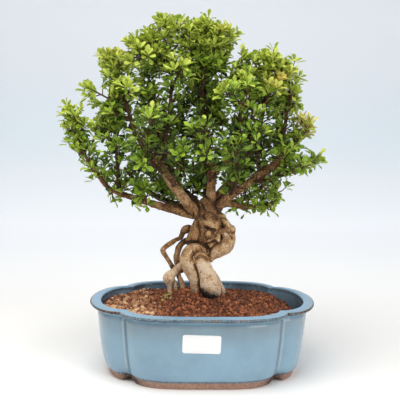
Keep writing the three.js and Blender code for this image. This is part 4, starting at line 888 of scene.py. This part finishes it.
# Painted shade in the folds, and the wet stain with painted shade low on the right leg.
for share, layer in ((pore, "#7d5636"), (crack, "#38220f"), (fold_shade_share, "#372113"), (wet_and_shaded, "#0e0704")):
    colour = add_node(tree, "Mix", {"data_type": "RGBA"}, {0: share, 6: colour, 7: layer})
bumps = add_node(tree, "Bump", inputs={"Strength": 0.5, "Distance": 0.004, "Height": patch})
bumps = add_node(tree, "Bump", inputs={"Strength": 0.9, "Distance": 0.0016, "Height": fine, "Normal": bumps})
surface = add_node(tree, "BsdfPrincipled", inputs={"Base Color": colour, "Roughness": 0.72, "Normal": bumps})
add_node(tree, "OutputMaterial", inputs={0: surface})
trunk = make_piece("trunk_and_roots", wood_points, [wood_faces], bark,
                   {"tone": sample(tone, wood_points) - aged + 0.2 * bulge,
                    "fold_shade": np.clip(painted_fold_shade, 0, 0.9), "wet_and_shade": np.clip(np.maximum(wet_and_shade, stain), 0, 1)})
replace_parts(trunk, "tree_wood")

# The branches
# The thinner wood that goes on from the thick limbs: round runs with knuckles along them, a pale saw
# cut at the end of the right limb and of the middle one, and a broken stub on the left limb.

# A direction that no stem follows, to find others square to it.
SLANTED = np.array([0.31, 0.87, 0.22])
BRANCH_SIDES, OVERLAP, LEAST_RINGS = 12, 3, 8


def tube(points, radii, sides):
    """Rings round a curve. The first ring's normal is carried along by projection, and both ends close
    on one point. Gives points, quads and the fans at the ends."""
    along = unit(np.gradient(points, axis=0))
    normal, held = np.empty_like(points), SLANTED
    for k, direction in enumerate(along):
        held = unit(held - direction * (held @ direction))
        normal[k] = held
    turn = np.linspace(0, 2 * np.pi, sides, endpoint=False)[None, :, None]
    ring = normal[:, None] * np.cos(turn) + np.cross(along, normal)[:, None] * np.sin(turn)
    radii = np.broadcast_to(np.reshape(radii, (len(points), -1)), (len(points), sides))
    made = points[:, None] + ring * radii[:, :, None]
    end = points[-1:] + along[-1:] * (radii[-1].mean() * 0.5)
    around, count = np.arange(sides), len(points) * sides
    fans = np.concatenate([fan(count - sides + around, count), fan(around[::-1], count + 1)])
    made = np.concatenate([made.reshape(-1, 3), end, points[:1]])
    return made, grid_faces(len(points), sides, True), fans


parts = []
for number, limb in enumerate(LIMBS):
    points, radii = run_curve(limb, 14)
    # The tube starts a few rings inside the trunk's skin, where the limb gets thin or leaves the field.
    thin = np.nonzero(radii <= THICK + 0.25)[0]
    inside_field = ((points > FIELD_LOW + 4) & (points < FIELD_HIGH - 4)).all(1)
    starts = thin[0] if len(thin) else len(points) - LEAST_RINGS
    starts = min(starts, max(np.nonzero(inside_field)[0][-1] - 2, 0)) if inside_field.any() else 0
    starts = max(min(starts, len(points) - LEAST_RINGS) - OVERLAP, 0)
    points, radii = points[starts:], radii[starts:]
    step, side = np.arange(len(points)), np.arange(BRANCH_SIDES)[None, :]
    knuckle = 1 + 0.10 * np.sin(step * 0.9 + number) * np.cos(step * 0.37 + 2 * number)
    ridge = 0.07 * np.sin(3 * 2 * np.pi * side / BRANCH_SIDES + step[:, None] * 0.21)
    grain_wave = 0.10 * (chance(step[:, None] + 100 * number, side) - 0.5)
    uneven = (radii * knuckle)[:, None] * (1 + ridge + grain_wave)
    made, quads, fans = tube(points, uneven, BRANCH_SIDES)
    shade = np.full(len(made), 0.4 if number < 6 else 0.1)
    if number in (1, 2, 4):
        # The cut or broken end is pale.
        shade[-(2 * BRANCH_SIDES + 2):] = 0.95
        shade[-1] = 0.24
    parts.append((made, quads, fans, shade))
made, quads, fans, shade = joined(parts)
branches = make_piece("branches", made, [quads, fans], bark,
                      {"tone": shade + 0.1 * lattice_noise(made, 9, 6), "fold_shade": 0 * shade, "wet_and_shade": 0 * shade})
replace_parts(branches, "tree_wood")

# The leafy stems
# New wood of one or two years with small spoon-shaped leaves. Each stem bears short spurs, and each spur
# ends in a rosette of leaves. The stem comes first as a thin tube, then the spurs, then the leaves.

# Where the leaves of each stem reach. A stem with two places forks half-way.
LEAFY_ENDS = [
    [[-86, -8, 173]], [[-106, 12, 188]], [[-122, 22, 207]], [[-147, 6, 242], [-138, 20, 225]],
    [[-145, 12, 289], [-157, 20, 265]], [[-128, 7, 309]], [[-109, 12, 352], [-115, 24, 329]],
    [[-82, 22, 362], [-89, -4, 338]], [[-64, 14, 377]], [[-44, 6, 386]], [[-21, 18, 386]], [[-3, 12, 387]],
    [[17, 4, 382]], [[33, 17, 375], [39, 16, 348]], [[74, 18, 352], [60, 4, 350]],
    [[94, 12, 338], [105, 24, 328]], [[103, 4, 310], [103, 20, 289]], [[118, 12, 271]], [[107, 4, 254]],
    [[135, 12, 236]], [[112, 18, 219], [91, 12, 202]], [[84, 20, 185], [65, 12, 175]], [[-80, -30, 314]],
    [[-46, -54, 292]], [[-13, -68, 279]], [[6, -46, 312]], [[-23, -30, 338]], [[42, -34, 326]],
    [[74, -24, 317]], [[57, -52, 267]], [[82, -32, 249]], [[29, -68, 263], [18, -72, 238]],
    [[-1, -82, 248]], [[-28, -72, 241]], [[-69, -50, 235]], [[-93, -28, 253]], [[-67, -32, 209]],
    [[52, -32, 202]], [[-98, 64, 304], [-113, 62, 259]], [[-61, 64, 339]], [[-27, 56, 359]],
    [[13, 62, 360]], [[53, 64, 329]], [[85, 60, 302]], [[-44, 96, 287]], [[-1, 98, 307]], [[40, 96, 283]],
    [[-76, 94, 247], [-91, 72, 208]], [[-24, 110, 237], [-49, 90, 192]], [[25, 110, 235], [44, 92, 191]],
    [[70, 90, 236]], [[103, 62, 243]],
]
# The same for finer shoots between the stems, and for those that stand out of the crown's outline.
FINE_ENDS = [
    [[20, 26, 344], [29, 20, 326]], [[-120, 14, 276], [-124, 18, 258]], [[25, 24, 300], [18, 22, 281]],
    [[-8, 40, 216], [-17, 44, 202]], [[-48, 24, 208], [-38, 32, 197]], [[-137, 6, 313]],
    [[62, 22, 356], [65, 20, 338]], [[-49, 12, 393]], [[-146, 12, 297]], [[-88, 10, 336]], [[-74, 14, 303]],
    [[-110, 8, 352]], [[78, 22, 283]], [[-2, 12, 391]], [[-88, 14, 365]], [[116, 10, 278]], [[32, 22, 326]],
    [[-86, 14, 205]], [[12, 40, 316], [4, 46, 296]], [[40, 44, 262], [28, 40, 250]], [[60, 30, 300]],
    [[-60, 30, 300], [-76, 36, 280]], [[-30, 40, 262], [-46, 36, 246]], [[24, 30, 286], [33, 26, 270]],
    [[-3, 62, 207], [12, 58, 203]], [[34, 14, 376]], [[-124, 12, 298]], [[76, 16, 262], [84, 20, 250]],
    [[-4, 34, 199]], [[22, 12, 381]], [[-26, 34, 300]], [[88, 24, 208]], [[70, 26, 250]], [[-33, 30, 192]],
    [[40, 30, 180]], [[-129, 12, 254]],
]
# Places in the outline where the sky shows, as ellipses in the front view: x and z at a depth of 30 mm,
# and half the width and height.
SKY_DEPTH = 30
OPEN_SKY = np.array([[-119, 322, 7, 16], [34, 349, 6, 10], [-119, 197, 10, 11], [105, 209, 11, 7],
                     [90, 350, 11, 7], [-88, 176, 9, 9], [-147, 230, 9, 10], [87, 176, 7, 8],
                     [111, 303, 7, 11], [115, 250, 9, 6], [-127, 338, 6, 17], [-141, 291, 6, 6],
                     [-157, 256, 6, 8], [-112, 243, 4, 6], [16, 390, 10, 4], [116, 293, 8, 7],
                     [-126, 280, 11, 8], [-97, 354, 5, 6], [-111, 189, 5, 7], [54, 167, 6, 5],
                     [125, 269, 5, 7], [-87, 224, 6, 5], [-37, 391, 10, 6], [-112, 299, 9, 8],
                     [89, 196, 6, 5], [126, 243, 6, 5], [47, 355, 5, 5]])
UP = np.array([0.0, 0, 1])
# The limbs that are kept clear of leaves at the front: up to which height, and what share of the leaves
# is left out. Nearly all of them are before the stub, the middle limb and the right one.
BARE_LIMBS = [(1, 232, 0.9), (2, 213, 0.9), (4, 227, 0.9), (0, 215, 0.45), (7, 262, 0.5), (8, 315, 0.6),
              (9, 330, 0.45), (11, 335, 0.6), (13, 305, 0.4), (14, 307, 0.6), (15, 310, 0.5)]
# The golden angle in radians, and how thick stems, shoots and spurs are along their length.
GOLDEN_ANGLE = 2.399963
STEM_RADII, SHOOT_RADII, SPUR_RADII = [1.5, 1.3, 1.1, 0.8], [1.3, 1.1, 0.9, 0.7], [0.75, 0.6, 0.45]
STEM_GAP, THICK_LIMB, TIP_LENGTH = 9, 4.5, 14
# Leaf lengths in millimetres at a spur's end, its middle, its foot and the stem's tip.
LEAF_LENGTHS = [11.2, 10.4, 9.8, 12.0]


def spring_points(all_ends):
    """The foot of each stem: the place on the branches that is nearest to its tip, where a place that is
    too high, near another foot or on a thick limb counts as further away."""
    spots, radii = [], []
    for limb in LIMBS:
        limb = np.asarray(limb, float)
        k = np.arange(4, (len(limb) - 1) * 4 + 1)
        span = np.minimum(k // 4, len(limb) - 2)
        share = (k / 4 - span)[:, None]
        spots.append(limb[span, :3] * (1 - share) + limb[span + 1, :3] * share)
        radii.append(limb[span, 3])
    spots, radii = np.concatenate(spots), np.concatenate(radii)
    feet, near_taken = [], np.zeros(len(spots), bool)
    for ends in all_ends:
        away = np.linalg.norm(spots - ends[0], axis=1)
        high = np.maximum(0, spots[:, 2] + 0.45 * away - ends[0][2])
        cost = away + 1.2 * high + 40 * near_taken + 30 * (radii > THICK_LIMB)
        feet.append(spots[cost.argmin()])
        near_taken |= np.linalg.norm(spots - feet[-1], axis=1) < STEM_GAP
    return feet


def stem_path(foot, reach, seed):
    """Four points of a stem that stops 14 mm short of where its leaves reach. It leaves sideways and
    then turns up: half a sine wave is added to the straight line."""
    reach = np.asarray(reach, float)
    tip = reach + (foot - reach) * min(TIP_LENGTH / np.linalg.norm(reach - foot), 0.4)
    lean = np.array([chance(seed, 0) - 0.5, chance(seed, 50) - 0.5, -0.35])
    share = np.array([0, 0.3, 0.65, 1])[:, None]
    return foot + (tip - foot) * share + lean * np.linalg.norm(tip - foot) * 0.1 * np.sin(share * np.pi)


# A leaf as a closed sheet: its outline, and a vein line above and below. Lengthways in leaf lengths,
# across in half widths, and upwards in leaf lengths. The half width is a share of the length.
STATIONS = np.array([0.34, 0.72, 0.94])
LEAF_HALF_WIDTH, LEAF_DROOP, LEAF_THICKNESS = 0.225, 0.13, 0.03
half, flat = np.sin(np.pi * STATIONS ** 2.2) ** 0.7, np.zeros(3)
lines = ((-half, 0.07 * half), (half, 0.07 * half), (flat, flat), (flat, flat - LEAF_THICKNESS))
leaf_outline = np.concatenate([[[0, 0, 0]], *[np.stack([STATIONS, *line], 1) for line in lines], [[1, 0, 0]]])
leaf_outline[:, 2] -= LEAF_DROOP * leaf_outline[:, 0] ** 2
LEAF_UNDER = np.concatenate([np.full(7, 0.5), np.zeros(3), np.ones(3), [0.5]])
LEAF_TRIS = np.array([[0, 1, 7], [0, 7, 4], [3, 13, 9], [9, 13, 6],
                      [0, 10, 1], [0, 4, 10], [3, 12, 13], [12, 6, 13]])
LEAF_QUADS = np.array([[1, 2, 8, 7], [7, 8, 5, 4], [1, 10, 11, 2], [10, 4, 5, 11]])
LEAF_QUADS = np.concatenate([LEAF_QUADS, LEAF_QUADS + 1])
LEAF_POINTS = len(leaf_outline)


def around_axes(axes, turn):
    """Unit vectors across axes, turned round them: cos(turn) u + sin(turn) v, where u and v stand square
    to the axis and to each other."""
    u = unit(np.cross(axes, SLANTED))
    return np.cos(turn)[..., None] * u + np.sin(turn)[..., None] * np.cross(axes, u)


def rosettes(places, axes, counts, openings, lengths, seed):
    """Leaves round axes: leaf i turns by i times the golden angle and opens more the lower it stands.
    Gives each leaf's foot, its (along, side, face) frame and its length."""
    owner = np.repeat(np.arange(len(places)), counts)
    order = np.arange(len(owner)) - np.repeat(np.cumsum(counts) - counts, counts)
    share = (order + 0.5) / counts[owner]
    axis = unit(axes)[owner]
    n = np.arange(len(owner))
    around = around_axes(axis, order * GOLDEN_ANGLE + 6.283 * chance(owner, seed) + 0.7 * chance(n, seed + 1))
    opening = (openings[owner, 0] + (openings[owner, 1] - openings[owner, 0]) * share
               + 0.35 * (chance(n, seed + 2) - 0.5))[:, None]
    along = unit(np.cos(opening) * axis + np.sin(opening) * around)
    face = unit(np.cos(opening) * -around + np.sin(opening) * axis + 0.25 * UP)
    side = unit(np.cross(face, along))
    twist = (0.6 * (chance(n, seed + 3) - 0.5))[:, None]
    side, face = unit(side + twist * np.cross(along, side)), unit(np.cross(along, side + twist * face))
    foot = places[owner] - axis * (2.2 * share)[:, None] + around * 0.5
    size = lengths[owner] * (0.72 + 0.36 * share + 0.2 * (chance(n, seed + 4) - 0.5))
    return foot, np.stack([along, side, face], 1), size


def spurred(curve, first_share, spacing, seed, last=True):
    """The spurs of one stem, and leaves on them: (spur tubes, leaf feet, leaf frames, leaf lengths,
    freshness). The spurs turn round the stem by the golden angle and are longer low down."""
    steps = np.linalg.norm(np.diff(curve, axis=0), axis=1)
    share = np.concatenate([[0], np.cumsum(steps)]) / steps.sum()
    count = max(int(steps.sum() * (1 - first_share) / spacing), 3)
    j = np.arange(count)
    s = first_share + (1 - first_share) * (j + 0.3 + 0.5 * chance(j, seed)) / count
    at, tangent = (np.stack([np.interp(s, share, column) for column in rows.T], 1)
                   for rows in (curve, np.gradient(curve, axis=0)))
    tangent = unit(tangent)
    around = around_axes(tangent, j * GOLDEN_ANGLE + seed)
    heading = unit(0.8 * around + 0.35 * tangent + 0.3 * UP)
    reach = ((19 - 11 * s) * (0.55 + 0.8 * chance(j, seed + 5)))[:, None]
    middle = at + heading * reach * 0.55
    end = at + heading * reach * 0.95 + UP * reach * 0.22
    tips, axes = [end, middle, at], [unit(end - middle) + 0.45 * UP, heading, tangent + 0.4 * around]
    number = [5 + (2.6 * chance(j, seed + 6)).astype(int), np.where(reach[:, 0] > 8, 3, 2),
              1 + (2.6 * chance(j, seed + 7)).astype(int)]
    opening = [[0.3, 1.15], [0.7, 1.2], [0.8, 1.3]]
    fresh = [0.25 + 0.3 * s, 0.1 + 0 * s, 0.0 * s]
    if last:
        tips.append(curve[-1:])
        axes.append(unit(curve[-1:] - curve[-3:-2]) + 0.35 * UP)
        number.append(np.array([9]))
        opening.append([0.15, 1.1])
        fresh.append(np.array([0.65]))
    rows = [len(t) for t in tips]
    places, counts = np.concatenate(tips), np.concatenate(number)
    lengths = np.repeat(LEAF_LENGTHS[:len(rows)], rows)
    feet, frames, sizes = rosettes(places, np.concatenate(axes), counts, np.repeat(opening, rows, 0),
                                   lengths, seed)
    varied = np.concatenate(fresh) + 0.4 * (chance(np.arange(len(counts)), seed + 20) - 0.5)
    return np.stack([at, middle, end], 1), feet, frames, sizes, np.repeat(varied, counts)


def spur_tubes(tubes):
    """Four-sided tubes along rows of points, all at once, each closed by a quad at both ends."""
    rows, sides = tubes.shape[1], 4
    along = unit(np.gradient(tubes, axis=1))
    ring = around_axes(along[:, :, None], np.arange(sides) * np.pi / 2)
    points = tubes[:, :, None] + ring * np.array(SPUR_RADII)[None, :, None, None]
    quads = np.concatenate([grid_faces(rows, sides, True), [[3, 2, 1, 0]],
                            np.arange(sides)[None] + sides * (rows - 1)])
    quads = quads[None] + (sides * rows * np.arange(len(tubes)))[:, None, None]
    return points.reshape(-1, 3), quads.reshape(-1, 4), np.zeros((0, 3), int)


VIEW_DISTANCE, TRUNK_DISTANCE, VIEW_HEIGHT, LIMB_MARGIN = 885, 890, 295, 2


def seen_from_front(places):
    """Where places lie in a front view from the camera's distance and height, in millimetres at the
    trunk: x and z scaled by the trunk's distance over their own."""
    nearer = TRUNK_DISTANCE / (VIEW_DISTANCE + places[:, 1])
    return np.stack([places[:, 0] * nearer, (places[:, 2] - VIEW_HEIGHT) * nearer], 1)


bare_parts = []
for number, top, share in BARE_LIMBS:
    points, radii = run_curve(LIMBS[number], 6)
    low_part = points[:, 2] < top
    bare_parts.append((points[low_part], radii[low_part], np.full(low_part.sum(), share)))
bare_places, bare_radii, bare_shares = (np.concatenate(v) for v in zip(*bare_parts))


def hides_limb(places):
    """The share of leaves to leave out at each place: that of the limb before which it lies, where it is
    less than the limb's radius and 2 mm from the limb's axis in the front view."""
    gap = np.linalg.norm(seen_from_front(places)[:, None] - seen_from_front(bare_places)[None], axis=2)
    hidden = (gap < bare_radii + LIMB_MARGIN) & (places[:, None, 1] < bare_places[None, :, 1])
    return (hidden * bare_shares).max(1)


def in_open_sky(places):
    """Whether a place lies in one of the ellipses where the sky shows."""
    middles = np.insert(OPEN_SKY[:, :2].astype(float), 1, SKY_DEPTH, axis=1)
    away = (seen_from_front(places)[:, None] - seen_from_front(middles)[None]) / OPEN_SKY[None, :, 2:]
    return (np.linalg.norm(away, axis=2) < 1).any(1)


def cut_back(curve, radii):
    """A stem that ends where it would come out into an open place, if a third of it is left."""
    out = np.nonzero(in_open_sky(curve))[0]
    end = max(out[0], len(curve) // 3) if len(out) else len(curve)
    return curve[:end], radii[:end]


CROWN_MIDDLE, CROWN_HALF = np.array([-6.0, 14, 250]), np.array([142.0, 220, 140])
# Where the newest leaves are golden: a place, how far round it, and how much.
GOLDEN = [([113, 8, 273], 14, 1.1), ([79, -8, 317], 12, 0.9), ([-90, 6, 336], 9, 0.5), ([18, 0, 368], 8, 0.4),
          ([-105, 10, 346], 10, 0.3)]


def leafy_piece(name, stems, spacing, seed, bare_start=0.1, last=True):
    """One piece of leafy wood along curves: [(points, radii)]. Leaves are placed in their frames as
    foot + length (along x + half width side y + face z). Each point is marked as (woody, under, fresh,
    gold). Without the last rosette there is no stem either."""
    parts = []
    for branch, (curve, radii) in enumerate(stems):
        tubes, feet, frames, sizes, new = spurred(curve, bare_start, spacing, seed + 31 * branch, last)
        tubes = tubes[~in_open_sky(tubes[:, 2])]
        for made, faces, tris in ([tube(curve, radii, 6)] if last else []) + [spur_tubes(tubes)]:
            parts.append((made, faces, tris, np.tile([1.0, 0, 0, 0], (len(made), 1))))
        middles = feet + 0.5 * sizes[:, None] * frames[:, 0]
        keep = (chance(np.arange(len(feet)), seed + 10) >= hides_limb(middles)) & ~in_open_sky(middles)
        feet, frames, sizes, new = feet[keep], frames[keep], sizes[keep], new[keep]
        n = np.arange(len(sizes))
        widths = LEAF_HALF_WIDTH * sizes * (0.9 + 0.25 * chance(n, 9))
        shape = leaf_outline[None] * np.stack([sizes, widths, sizes], 1)[:, None]
        made = (feet[:, None] + shape @ frames).reshape(-1, 3)
        outer, up = np.linalg.norm((feet - CROWN_MIDDLE) / CROWN_HALF, axis=1), feet[:, 2]
        # How light each leaf is: newer and outer leaves are lighter, and higher ones lighter still, partly as
        # painted light. The crown's middle is painted darker as painted shade, and the low leaves lighter as
        # painted light.
        value = 0.75 * new + 0.5 * smooth(0.5, 1.0, outer) + (0.3 + 0.85 * new) * smooth(200, 360, up) \
            - 0.05 - 0.1 * (1 - smooth(0.35, 0.7, outer)) + 0.3 * (1 - smooth(160, 240, up)) \
            + 0.5 * (chance(n, seed + 8) - 0.4)
        golden = sum(amount * bell(np.linalg.norm(feet - centre, axis=1), 0, width)
                     for centre, width, amount in GOLDEN) * (0.4 + 0.9 * chance(n, seed + 9))
        marks = [np.zeros(len(made)), np.tile(LEAF_UNDER, len(n)), np.repeat(value, LEAF_POINTS),
                 np.repeat(golden, LEAF_POINTS)]
        first = LEAF_POINTS * n[:, None, None]
        parts.append((made, (LEAF_QUADS[None] + first).reshape(-1, 4),
                      (LEAF_TRIS[None] + first).reshape(-1, 3), np.stack(marks, 1)))
    points, quads, tris, marks = joined(parts)
    piece = make_piece(name, points, [quads, tris], leaf_matter,
                       dict(zip(("woody", "under", "fresh", "gold"), marks.T)), faceted=True)
    return piece


# Barberry leaves: leathery and softly glossy, deep green inside the crown, yellow-green where they are
# new, golden at a few tips, greyer underneath. Their green is also painted darker in the crown's middle
# and lighter low down and at the top, as painted shade and painted light. Light comes through them. The
# stems are thin brown bark. The blotches are 6 mm across.
leaf_matter, tree, place = new_material("barberry leaves and twigs")
blotch = add_node(tree, "TexNoise", inputs={"Vector": place, "Scale": 160.0, "Detail": 2.0})
youth_and_light, golden, beneath, woody = (add_node(tree, "Attribute", {"attribute_name": name})
                                 for name in ("fresh", "gold", "under", "woody"))
shift = add_node(tree, "MapRange", inputs={0: blotch, 1: 0.3, 2: 0.7, 3: -0.12, 4: 0.12})
youth_and_light = add_node(tree, "Math", {"operation": "ADD"}, {0: youth_and_light, 1: shift})
colour = add_node(tree, "ValToRGB", inputs={0: youth_and_light},
                  stops=[(0.0, "#354219"), (0.25, "#668329"), (0.5, "#95b83a"), (0.75, "#b7d14a"),
                         (1.0, "#d6e268")])
amber = add_node(tree, "ValToRGB", inputs={0: blotch},
                 stops=[(0.4, "#f0dc70"), (0.55, "#f8e7a0"), (0.66, "#f4be70")])
below = add_node(tree, "MapRange", inputs={0: beneath, 1: 0.5, 2: 1.0, 3: 0.0, 4: 0.5})
for share, layer in ((below, "#93a45f"), (golden, amber), (woody, "#5a3d2c")):
    colour = add_node(tree, "Mix", {"data_type": "RGBA"}, {0: share, 6: colour, 7: layer})
surface = add_node(tree, "BsdfPrincipled", inputs={
    "Base Color": colour, "Roughness": 0.48, "Specular IOR Level": 0.35})
through = add_node(tree, "BsdfTranslucent", inputs={"Color": colour})
leafy = add_node(tree, "MapRange", inputs={0: woody, 3: 0.28, 4: 0.0})
both = add_node(tree, "MixShader", inputs={0: leafy, 1: surface, 2: through})
add_node(tree, "OutputMaterial", inputs={0: both})

for number, (foot, ends) in enumerate(zip(spring_points(LEAFY_ENDS), LEAFY_ENDS)):
    paths = [stem_path(foot, ends[0], number)]
    if len(ends) > 1:
        paths.append(stem_path(paths[0][1:3].sum(0) / 2, ends[1], number + 100))
    stems = [cut_back(*run_curve(np.column_stack([path, STEM_RADII]), 7)) for path in paths]
    name = "leafy_stem_%02d" % (number + 1)
    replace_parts(leafy_piece(name + "_fine", stems, spacing=3.0, seed=3 * number + 1), name)

# The finer shoots between the stems.
fine_stems = [run_curve(np.column_stack([stem_path(foot, reach, number + 200), SHOOT_RADII]), 7)
              for number, (foot, ends) in enumerate(zip(spring_points(FINE_ENDS), FINE_ENDS))
              for reach in ends]
leafy_piece("fine_shoots", fine_stems, spacing=2.6, seed=800, bare_start=0.15)

# Short spurs with leaves all along the thin branches between the stems.
THIN_LIMB = 2.9
curves = [run_curve(limb, 10) for limb in LIMBS]
thin_curves = [(curve[radii < THIN_LIMB], radii[radii < THIN_LIMB]) for curve, radii in curves
               if (radii < THIN_LIMB).sum() > 6]
leafy_piece("branch_spurs", thin_curves, spacing=4.2, seed=500, bare_start=0.0, last=False)

# The label
# A blank white sticker of glossy paper with rounded corners on the front of the pot. It is a thin sheet
# that follows the wall.

LABEL_HALF, LABEL_SIDES, LABEL_CORNER = np.array([19.5, 9.75]), 64, 2.5
LABEL_PLACE, LABEL_TURN = (-2.6, 51.5), np.radians(-1.5)


def wall_front(x, z):
    """How far the front wall stands out at x and height z: the outline's y there, scaled by the wall's
    inset at that height, and the proud panel added."""
    front = (plan[:, 1] < -NOTCH_Y) & (np.abs(plan[:, 0]) < 60)
    order = np.argsort(plan[front, 0])
    level = np.interp(z, WALL_LINE[:, 1], WALL_LINE[:, 0]) - PANEL_RELIEF
    y = np.interp(x, plan[front, 0][order], plan[front, 1][order])
    return y * (RIM_HALF_DEPTH - level) / RIM_HALF_DEPTH


turn = np.linspace(0, 2 * np.pi, LABEL_SIDES, endpoint=False)
edge = np.stack([np.cos(turn), np.sin(turn)], 1)
edge = np.sign(edge) * (LABEL_HALF - LABEL_CORNER) + LABEL_CORNER * edge
# The sheet's section from the middle of its back round the edge to the middle of its front: share of the
# way to the edge, and how far it stands out from the wall.
sheet = [(0.0, 0.12), (0.5, 0.12), (1.0, 0.12), (1.0, 0.34), (0.99, 0.4), (0.5, 0.4), (0.0, 0.4)]
rings = []
for share, proud in sheet:
    x, z = turned(LABEL_PLACE, *(edge * share).T, LABEL_TURN).T
    rings.append(np.stack([x, wall_front(x, z) - proud, z], 1))
label_points = np.concatenate([rings[0][:1], *rings[1:-1], rings[-1][:1]])
around, last = np.arange(LABEL_SIDES), len(label_points) - 1
label_faces = [grid_faces(len(sheet) - 2, LABEL_SIDES, True, 1)[:, ::-1], fan(1 + around, 0),
               fan((last - LABEL_SIDES + around)[::-1], last)]

# Coated paper: even, nearly white, with a soft sheen.
# Its fibres are drawn at 1.4 mm, coarser than the real ones, so that they show.
coated, tree, place = new_material("coated label paper")
fibre = add_node(tree, "TexNoise", inputs={"Vector": place, "Scale": 700.0, "Detail": 2.0})
colour = add_node(tree, "ValToRGB", inputs={0: fibre}, stops=[(0.3, "#f1f2f1"), (0.7, "#f7f7f6")])
surface = add_node(tree, "BsdfPrincipled", inputs={"Base Color": colour, "Roughness": 0.35})
add_node(tree, "OutputMaterial", inputs={0: surface})
sticker = make_piece("label_sheet", label_points, label_faces, coated)
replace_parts(sticker, "label")

# The studio
# A pale table top that turns up into a pale wall with a little light of its own, a large soft light above
# and a weaker one at each side. The camera stands a little left of the pot's middle and looks slightly
# down.

paper, tree, place = new_material("pale studio paper")
depth, rise = add_node(tree, "SeparateXYZ", inputs={0: place}).node.outputs[1:3]
lifted = add_node(tree, "MapRange", inputs={0: depth, 1: 0.1, 2: 0.9, 3: 0.0, 4: 0.05})
rise = add_node(tree, "Math", {"operation": "ADD"}, {0: rise, 1: lifted})
rise = add_node(tree, "MapRange", inputs={0: rise, 1: 0.0, 2: 0.6})
wall_tone = add_node(tree, "ValToRGB", inputs={0: rise},
                     stops=[(0.0, "#fefdfb"), (0.1, "#fcfcfc"), (0.4, "#f0f5fa"), (1.0, "#f2f5f9")])
run_back = add_node(tree, "MapRange", inputs={0: depth, 1: 0.1, 2: 1.4})
glow = add_node(tree, "ValToRGB", inputs={0: run_back},
                stops=[(0.0, "#000000"), (0.12, "#363534"), (0.33, "#5d6265"), (0.68, "#777c84"),
                       (0.93, "#334a53"), (1.0, "#38383f")])
surface = add_node(tree, "BsdfPrincipled", inputs={
    "Base Color": wall_tone, "Roughness": 0.9, "Emission Color": glow, "Emission Strength": 1.0})
add_node(tree, "OutputMaterial", inputs={0: surface})
# The paper lies flat, bends up in a quarter circle and stands, a hair below the pot's foot.
SWEEP_FRONT, SWEEP_BACK, SWEEP_RADIUS, SWEEP_SIZE, UNDER_FOOT = -1500.0, 900.0, 500, 2600.0, 0.05
bends = np.linspace(0.1, np.pi / 2, 18)
sweep = np.concatenate([[[SWEEP_FRONT, 0.0], [SWEEP_BACK, 0.0]],
                        np.stack([SWEEP_BACK + SWEEP_RADIUS * np.sin(bends),
                                  SWEEP_RADIUS - SWEEP_RADIUS * np.cos(bends)], 1),
                        [[SWEEP_BACK + SWEEP_RADIUS, SWEEP_SIZE]]])
across = np.linspace(-SWEEP_SIZE, SWEEP_SIZE, 3)
floor_points = np.column_stack([np.tile(across, len(sweep)), np.repeat(sweep, 3, axis=0)])
floor_points[:, 2] -= UNDER_FOOT
floor = make_piece("studio_floor", floor_points, [grid_faces(len(sweep), 3, False)], paper)


def aimed(name, data, right, up, back, spot):
    """A camera or a lamp at a spot of the frame. It looks against its back direction."""
    made = bpy.data.objects.new(name, data)
    bpy.context.scene.collection.objects.link(made)
    axes = np.eye(4)
    axes[:3] = np.stack([right, up, back, spot], 1)
    made.matrix_world = Matrix(axes.tolist())
    return made


FOCAL_PIXELS, IMAGE_PIXELS, SENSOR_WIDTH = 820.8, 400.0, 36.0
CAMERA_DISTANCE, CAMERA_HEIGHT, CAMERA_SIDE = 884.5, 295.3, -3.88
turn, pitch, roll = np.radians([-1.73, 6.914, -0.787])
right = np.array([np.cos(turn), np.sin(turn), 0])
ahead = np.array([-np.sin(turn), np.cos(turn), 0])
look = ahead * np.cos(pitch) - np.array([0, 0, np.sin(pitch)])
up = np.cross(right, look)
spot = in_metres(-ahead * CAMERA_DISTANCE + right * CAMERA_SIDE + np.array([0, 0, CAMERA_HEIGHT]))
camera = aimed("camera", bpy.data.cameras.new("camera"), right * np.cos(roll) - up * np.sin(roll),
               right * np.sin(roll) + up * np.cos(roll), -look, spot)
camera.data.sensor_width, camera.data.lens = SENSOR_WIDTH, SENSOR_WIDTH * FOCAL_PIXELS / IMAGE_PIXELS
camera.data.clip_start, camera.data.clip_end = 0.05, 20
bpy.context.scene.camera = camera

# Each light's name, place, aim, width in metres, power in watts and colour.
for name, place, aim, size, power, colour in [
    ("top light", (-250, -350, 1150), (0, 0, 200), 0.9, 11, "#fffaf2"),
    ("right light", (850, -900, 700), (0, 0, 200), 0.8, 7, "#ffffff"),
    ("left light", (-1000, -500, 500), (0, 0, 180), 0.8, 1.5, "#f4f8ff"),
]:
    lamp = bpy.data.lights.new(name, "AREA")
    lamp.size, lamp.energy = size, power
    lamp.color = linear(colour)[:3]
    start, end = in_metres(place), in_metres(aim)
    back = unit(start - end)
    side = unit(np.cross([0, 0, 1], back))
    aimed(name, lamp, side, np.cross(back, side), back, start)

world = bpy.data.worlds.new("soft room")
bpy.context.scene.world = world
world.use_nodes = True
background = world.node_tree.nodes["Background"].inputs
background[0].default_value, background[1].default_value = linear("#eef2f8"), 0.42
bpy.context.scene.view_settings.view_transform = "Standard"
